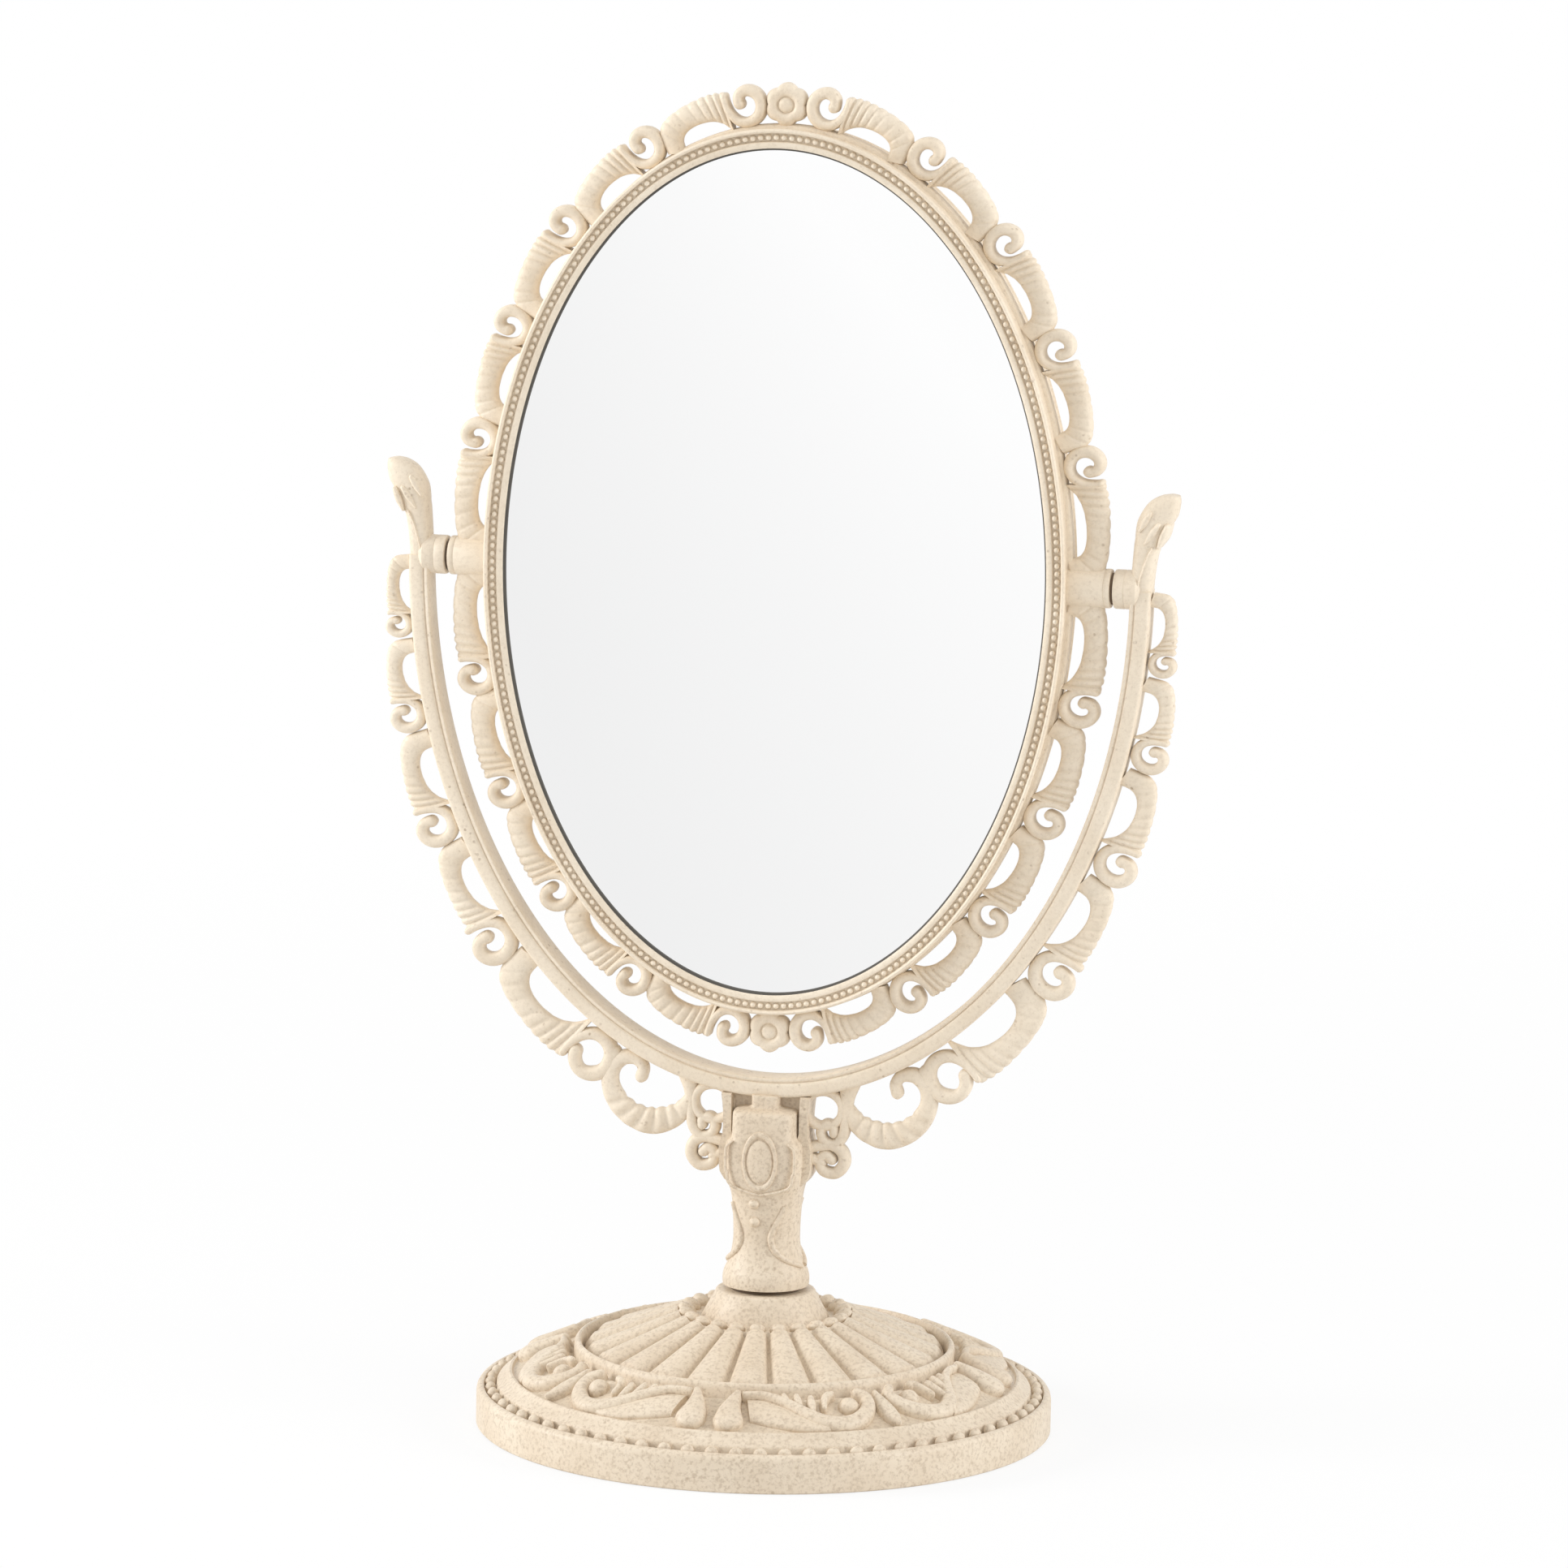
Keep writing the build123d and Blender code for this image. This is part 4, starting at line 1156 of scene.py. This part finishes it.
# Radius and height of the dome's plain middle and underside
DOME_CLOSE = ((20.4, 27.0), (18.6, 26.3), (15.2, 26.1), (13.0, 22.0), (43.0, 14.6))
columns = FLUTES * PER_FLUTE
dome_rings = []
for radius in np.concatenate([corner_rows, length_rows]):
    share = (FLUTE_OUT - radius) / (FLUTE_OUT - FLUTE_IN)
    level = FLUTE_OUT_Z + share * (FLUTE_IN_Z - FLUTE_OUT_Z)
    half_gap = TAU * radius / FLUTES / 2
    from_end = min(max((FLUTE_OUT - FLUTE_SETBACK - radius) / (CORNER * half_gap), 0.0), 1.0)
    end_cut = 1 - CORNER + CORNER * math.sqrt(1 - (1 - from_end) ** 2)
    rise = FLUTE_RISE * (AXIS_RISE + RISE_GAIN * radius / FLUTE_OUT)
    ring = []
    for k in range(columns):
        turn = TAU * k / columns
        away = abs((k % PER_FLUTE) / PER_FLUTE - 0.5) * 2
        spread = away / (FLUTE_SPREAD * end_cut)
        crown = math.sqrt(1 - spread**CROWN_POWER) if spread < 1 else 0.0
        crown *= math.sqrt(from_end) if from_end < 1 else 1.0
        lift = rise * crown - VALLEY
        ring.append((radius * math.cos(turn), radius * math.sin(turn), level + lift))
    dome_rings.append(ring)
for radius, level in DOME_CLOSE:
    dome_rings.append(circle(radius, level, columns))
foot.add(Form().loft(dome_rings, closed=True))


def bead_ring(count, radius, level, lean, half_out, half_along, height):
    """Row of beads round the foot, leaning out by a share."""
    beads = Form()
    for turn in turns(count) + math.pi / count:
        out = np.array((math.cos(turn), math.sin(turn), 0.0))
        along = np.array((-math.sin(turn), math.cos(turn), 0.0))
        up = lean * out + (0, 0, math.sqrt(1 - lean**2))
        beads.add(pearl(radius * out + (0, 0, level), out, along, up, half_out, half_along, height))
    return beads


# Petals that end the flutes at the collar, and the beads in the rim's groove
foot.add(bead_ring(FLUTES, radius=18.6, level=27.1, lean=0.4, half_out=2.1, half_along=2.0, height=1.9))
foot.add(bead_ring(72, radius=64.85, level=8.5, lean=0.0, half_out=1.4, half_along=1.7, height=1.75))
# Tapered collar, hollow for the spigot
COLLAR_FOOT = 23.4
SLEEVE_RADIUS, SLEEVE_FOOT = 9.4, 12.0
COLLAR_PROFILE = (
    (COLLAR, COLLAR_FOOT),
    (COLLAR, 25.4),
    (COLLAR - 0.2, 26.2),
    (COLLAR - 3.3, 31.9),
    (COLLAR - 3.5, 32.5),
    (COLLAR - 3.8, 32.9),
    (COLLAR - 4.3, COLLAR_TOP),
    (BORE_RADIUS, COLLAR_TOP),
    (BORE_RADIUS, SLEEVE_FOOT),
    (SLEEVE_RADIUS, SLEEVE_FOOT),
    (SLEEVE_RADIUS, COLLAR_FOOT),
)
foot.add(lathe(COLLAR_PROFILE, 128))

# Acanthus band: half a repeat, laid flat, then set on the slope, mirrored and turned

BAND_MIDDLE = 52.0
SINK = 0.5


def band_point(along, radius, lift):
    """Point over the sloping band: run along its middle from the front, radius, height over the slope."""
    turn = along / BAND_MIDDLE
    steep = math.hypot(1, FALL)
    reach = radius + lift * FALL / steep
    return (reach * math.sin(turn), -reach * math.cos(turn), slope(radius) - SINK + lift / steep)


def vine(knots, lift, count=64):
    """Raised strand on the band: degrees from the front, radius, half width."""
    laid = [(math.radians(turn) * BAND_MIDDLE, radius, width) for turn, radius, width in knots]
    return trace(laid, lift, count)


def blade(upper, lower, lift, count=48):
    """Low leaf between two edges on the band: degrees from the front, radius."""
    edges = [np.radians(1) * BAND_MIDDLE, 1.0]
    return ribbon(curve(lower, count) * edges, curve(upper, count) * edges, lift)


def bud(turn, radius, size, height):
    """Round bud on the band."""
    centre = np.array((math.radians(turn) * BAND_MIDDLE, radius, 0.0))
    out, along, up = np.eye(3)
    return pearl(centre, out, along, up, size, size, height)


# Strands: degrees from the front, radius, half width. With them in VINES, the lift.
# The stem runs along the top of the blade into the C scroll and winds in
STEM = (
    (7.6, 47.2, 0.8),
    (12.6, 47.1, 0.95),
    (17.0, 48.5, 1.15),
    (20.8, 50.9, 1.4),
    (24.0, 53.7, 1.7),
    (27.2, 56.1, 1.95),
    (30.8, 57.2, 2.05),
    (34.6, 56.7, 2.05),
    (38.0, 54.8, 1.95),
    (40.6, 51.9, 1.8),
    (41.4, 49.2, 1.6),
    (39.8, 47.4, 1.35),
)
VINES = (
    # Fat lobe of the pair at the front
    (((5.8, 47.2, 1.1), (5.0, 49.6, 1.9), (4.5, 52.6, 2.8), (4.6, 55.4, 3.4)), 3.0),
    (STEM, 2.7),
    # Small curl between the fan and the bud
    (((28.6, 52.0, 0.7), (29.2, 49.4, 1.0), (30.6, 47.6, 1.1), (32.2, 47.2, 0.9)), 2.4),
)
# Petals of the fan
LEAFLETS = (
    ((20.0, 50.0, 0.5), (19.0, 48.6, 1.0), (18.6, 47.4, 0.8)),
    ((22.6, 51.4, 0.6), (22.2, 49.2, 1.15), (22.0, 47.6, 0.9)),
    ((25.4, 53.2, 0.6), (25.6, 50.4, 1.2), (25.8, 48.4, 0.95)),
)
BLADE_UPPER = ((8.4, 47.6), (13.0, 47.6), (17.0, 49.2), (20.6, 51.4), (23.5, 54.1), (26.5, 56.6))
BLADE_LOWER = ((9.8, 55.0), (14.5, 56.5), (19.2, 57.9), (23.0, 58.8), (26.4, 59.1), (28.5, 59.0))
half = Form()
for knots, lift in VINES:
    half.add(vine(knots, lift))
for knots in LEAFLETS:
    half.add(vine(knots, lift=2.5, count=20))
half.add(blade(BLADE_UPPER, BLADE_LOWER, lift=1.6))
half.add(bud(turn=35.7, radius=51.0, size=2.6, height=2.9))
# Leaf on the joint between two repeats
AXIS_LEAF = ((45.0, 59.2, 0.5), (45.0, 56.4, 1.8), (45.0, 53.2, 2.1), (45.0, 50.2, 1.5), (45.0, 48.0, 0.7))
axis_leaf = vine(AXIS_LEAF, lift=2.3, count=32)
REPEATS = 4
vines = Form()
for index in range(REPEATS):
    quarter_turn = TAU * index / REPEATS * BAND_MIDDLE
    vines.add(axis_leaf, lambda along, radius, lift: band_point(quarter_turn + along, radius, lift))
    for side in (1, -1):
        vines.add(half, lambda along, radius, lift: band_point(quarter_turn + side * along, radius, lift))
foot.add(vines)
foot.piece("foot", "base", speckled, "base_shell")

# CAD nodes that stay as they are get their finish
FINISHES = {
    "base_cover": plastic,
    "ballast_ring": iron,
    "foot_pads": rubber,
    "cover_screws": steel,
    "stem_screw": steel,
    "yoke_screw": steel,
    "retaining_washer": steel,
    "pivot_pin_left": steel,
    "pivot_pin_right": steel,
    "swivel_washer": fibre,
    "pivot_bush_left": bush_plastic,
    "pivot_bush_right": bush_plastic,
    "friction_washer_left": fibre,
    "friction_washer_right": fibre,
    "mirror_spacer": inner_plastic,
}
for name, finish in FINISHES.items():
    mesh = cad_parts[name].data
    mesh.materials.clear()
    mesh.materials.append(finish)

# Stage: white paper floor, white surroundings, soft light from both sides and from above

scene = bpy.context.scene
scene.view_settings.view_transform = "Standard"


def shader_mix(tree, share, a, b):
    node = tree.nodes.new("ShaderNodeMixShader")
    link(tree, share, node.inputs[0])
    link(tree, a, node.inputs[1])
    link(tree, b, node.inputs[2])
    return node.outputs[0]


def maths(tree, way, *values):
    node = tree.nodes.new("ShaderNodeMath")
    node.operation = way
    for value, socket in zip(values, node.inputs):
        feed(tree, value, socket)
    return node.outputs[0]


PAPER, PAPER_ROUGHNESS = 0.86, 0.9
# Distance from the foot's middle and share of plain white there: shadow near the foot, white further off
SHADOW_NEAR, WHITE_FAR = (0.12, 0.82), (0.8, 1.0)
# Painted reflection, a tone the floor gives only to glossy rays, which the glass mirrors: its middle, what
# each metre to the right and to the back adds
PAINTED_REFLECTION_MIDDLE, PAINTED_REFLECTION_ACROSS, PAINTED_REFLECTION_BACK = 0.83, 0.62, -0.2
# Tone and grey at the painted reflection's two ends
PAINTED_REFLECTION_DARK, PAINTED_REFLECTION_LIGHT = (0.84, 0.88), (1.0, 1.0)


def white_paper(name):
    """White paper that takes the object's shadow, and shows glossy rays a painted reflection: a soft grey
    gradient that the glass mirrors.
    """
    material, tree, shader = nodes_of(name)
    shader.inputs["Base Color"].default_value = (PAPER, PAPER, PAPER, 1)
    shader.inputs["Roughness"].default_value = PAPER_ROUGHNESS
    rays = tree.nodes.new("ShaderNodeLightPath").outputs
    white = tree.nodes.new("ShaderNodeEmission")
    white.inputs["Color"].default_value = (1, 1, 1, 1)
    away_from_foot = tree.nodes.new("ShaderNodeVectorMath")
    away_from_foot.operation = "LENGTH"
    link(tree, object_place(tree), away_from_foot.inputs[0])
    whiteness = ramp(tree, away_from_foot.outputs["Value"], SHADOW_NEAR, WHITE_FAR)
    seen = shader_mix(tree, whiteness, shader.outputs[0], white.outputs[0])
    parts = tree.nodes.new("ShaderNodeSeparateXYZ")
    link(tree, object_place(tree), parts.inputs[0])
    across = maths(tree, "MULTIPLY", parts.outputs["X"], PAINTED_REFLECTION_ACROSS)
    away = maths(tree, "MULTIPLY", parts.outputs["Y"], PAINTED_REFLECTION_BACK)
    tone = maths(tree, "ADD", maths(tree, "ADD", across, away), PAINTED_REFLECTION_MIDDLE)
    # Painted reflection: emission that only glossy and transmission rays see
    painted_reflection = tree.nodes.new("ShaderNodeEmission")
    link(tree, ramp(tree, tone, PAINTED_REFLECTION_DARK, PAINTED_REFLECTION_LIGHT), painted_reflection.inputs["Color"])
    result = shader_mix(tree, rays["Is Camera Ray"], shader.outputs[0], seen)
    mirrored = maths(tree, "MAXIMUM", rays["Is Glossy Ray"], rays["Is Transmission Ray"])
    result = shader_mix(tree, mirrored, result, painted_reflection.outputs[0])
    link(tree, result, tree.nodes["Material Output"].inputs["Surface"])
    return material


AMBIENT = 0.66
world = bpy.data.worlds.new("studio")
scene.world = world
world.use_nodes = True
sky = world.node_tree
rays = sky.nodes.new("ShaderNodeLightPath").outputs
direct = maths(sky, "MAXIMUM", rays["Is Camera Ray"], rays["Is Glossy Ray"])
shown = maths(sky, "MAXIMUM", direct, rays["Is Transmission Ray"])
sky.nodes["Background"].inputs["Color"].default_value = (1, 1, 1, 1)
link(sky, maths(sky, "MAXIMUM", shown, AMBIENT), sky.nodes["Background"].inputs["Strength"])

FLOOR_REACH = 6.0
corners = [(-1, -1), (1, -1), (1, 1), (-1, 1)]
floor_mesh = bpy.data.meshes.new("floor")
floor_mesh.from_pydata([(FLOOR_REACH * x, FLOOR_REACH * y, 0) for x, y in corners], [], [(0, 1, 2, 3)])
floor_mesh.materials.append(white_paper("floor_paper"))
floor = bpy.data.objects.new("floor", floor_mesh)
scene.collection.objects.link(floor)


def lamp(name, place, target, size, power):
    light = bpy.data.lights.new(name, "AREA")
    light.energy = power
    light.size = size
    thing = bpy.data.objects.new(name, light)
    thing.location = place
    thing.rotation_euler = (Vector(target) - Vector(place)).to_track_quat("-Z", "Y").to_euler()
    scene.collection.objects.link(thing)


LIT_POINT = (0, 0, 0.15)
lamp("key", (-1.55, -0.45, 0.65), LIT_POINT, size=0.7, power=18)
lamp("fill", (1.55, -0.2, 0.6), LIT_POINT, size=0.8, power=11.5)
lamp("top", (0.1, -0.3, 1.7), LIT_POINT, size=1.0, power=4)

# Camera at the photograph's angle: 13 degrees to the right, 9.5 above, the picture rolled by 1 degree
AZIMUTH, ELEVATION, ROLL = math.radians(12.99), math.radians(9.5), math.radians(1.06)
DISTANCE = 2.0
TARGET = Vector((0, 0, 0.16))
IMAGE = 1932
PIXELS_PER_MM = 5.255
FOCAL_PIXELS = PIXELS_PER_MM * (DISTANCE * PER_METRE)
# The picture's shift in pixels, for the photograph's framing
SHIFT_RIGHT, SHIFT_DOWN = -10.5, -30.4
camera_data = bpy.data.cameras.new("camera")
camera_data.sensor_width = 36
camera_data.lens = FOCAL_PIXELS / IMAGE * camera_data.sensor_width
camera_data.shift_x = -SHIFT_RIGHT / IMAGE
camera_data.shift_y = SHIFT_DOWN / IMAGE
camera_data.clip_end = 50
camera = bpy.data.objects.new("camera", camera_data)
level_share = math.cos(ELEVATION)
back = Vector((math.sin(AZIMUTH) * level_share, -math.cos(AZIMUTH) * level_share, math.sin(ELEVATION)))
camera.location = TARGET + back * DISTANCE
camera.rotation_mode = "QUATERNION"
look = (-back).to_track_quat("-Z", "Y").to_matrix()
camera.rotation_quaternion = (look @ Matrix.Rotation(ROLL, 3, "Z")).to_quaternion()
scene.collection.objects.link(camera)
scene.camera = camera
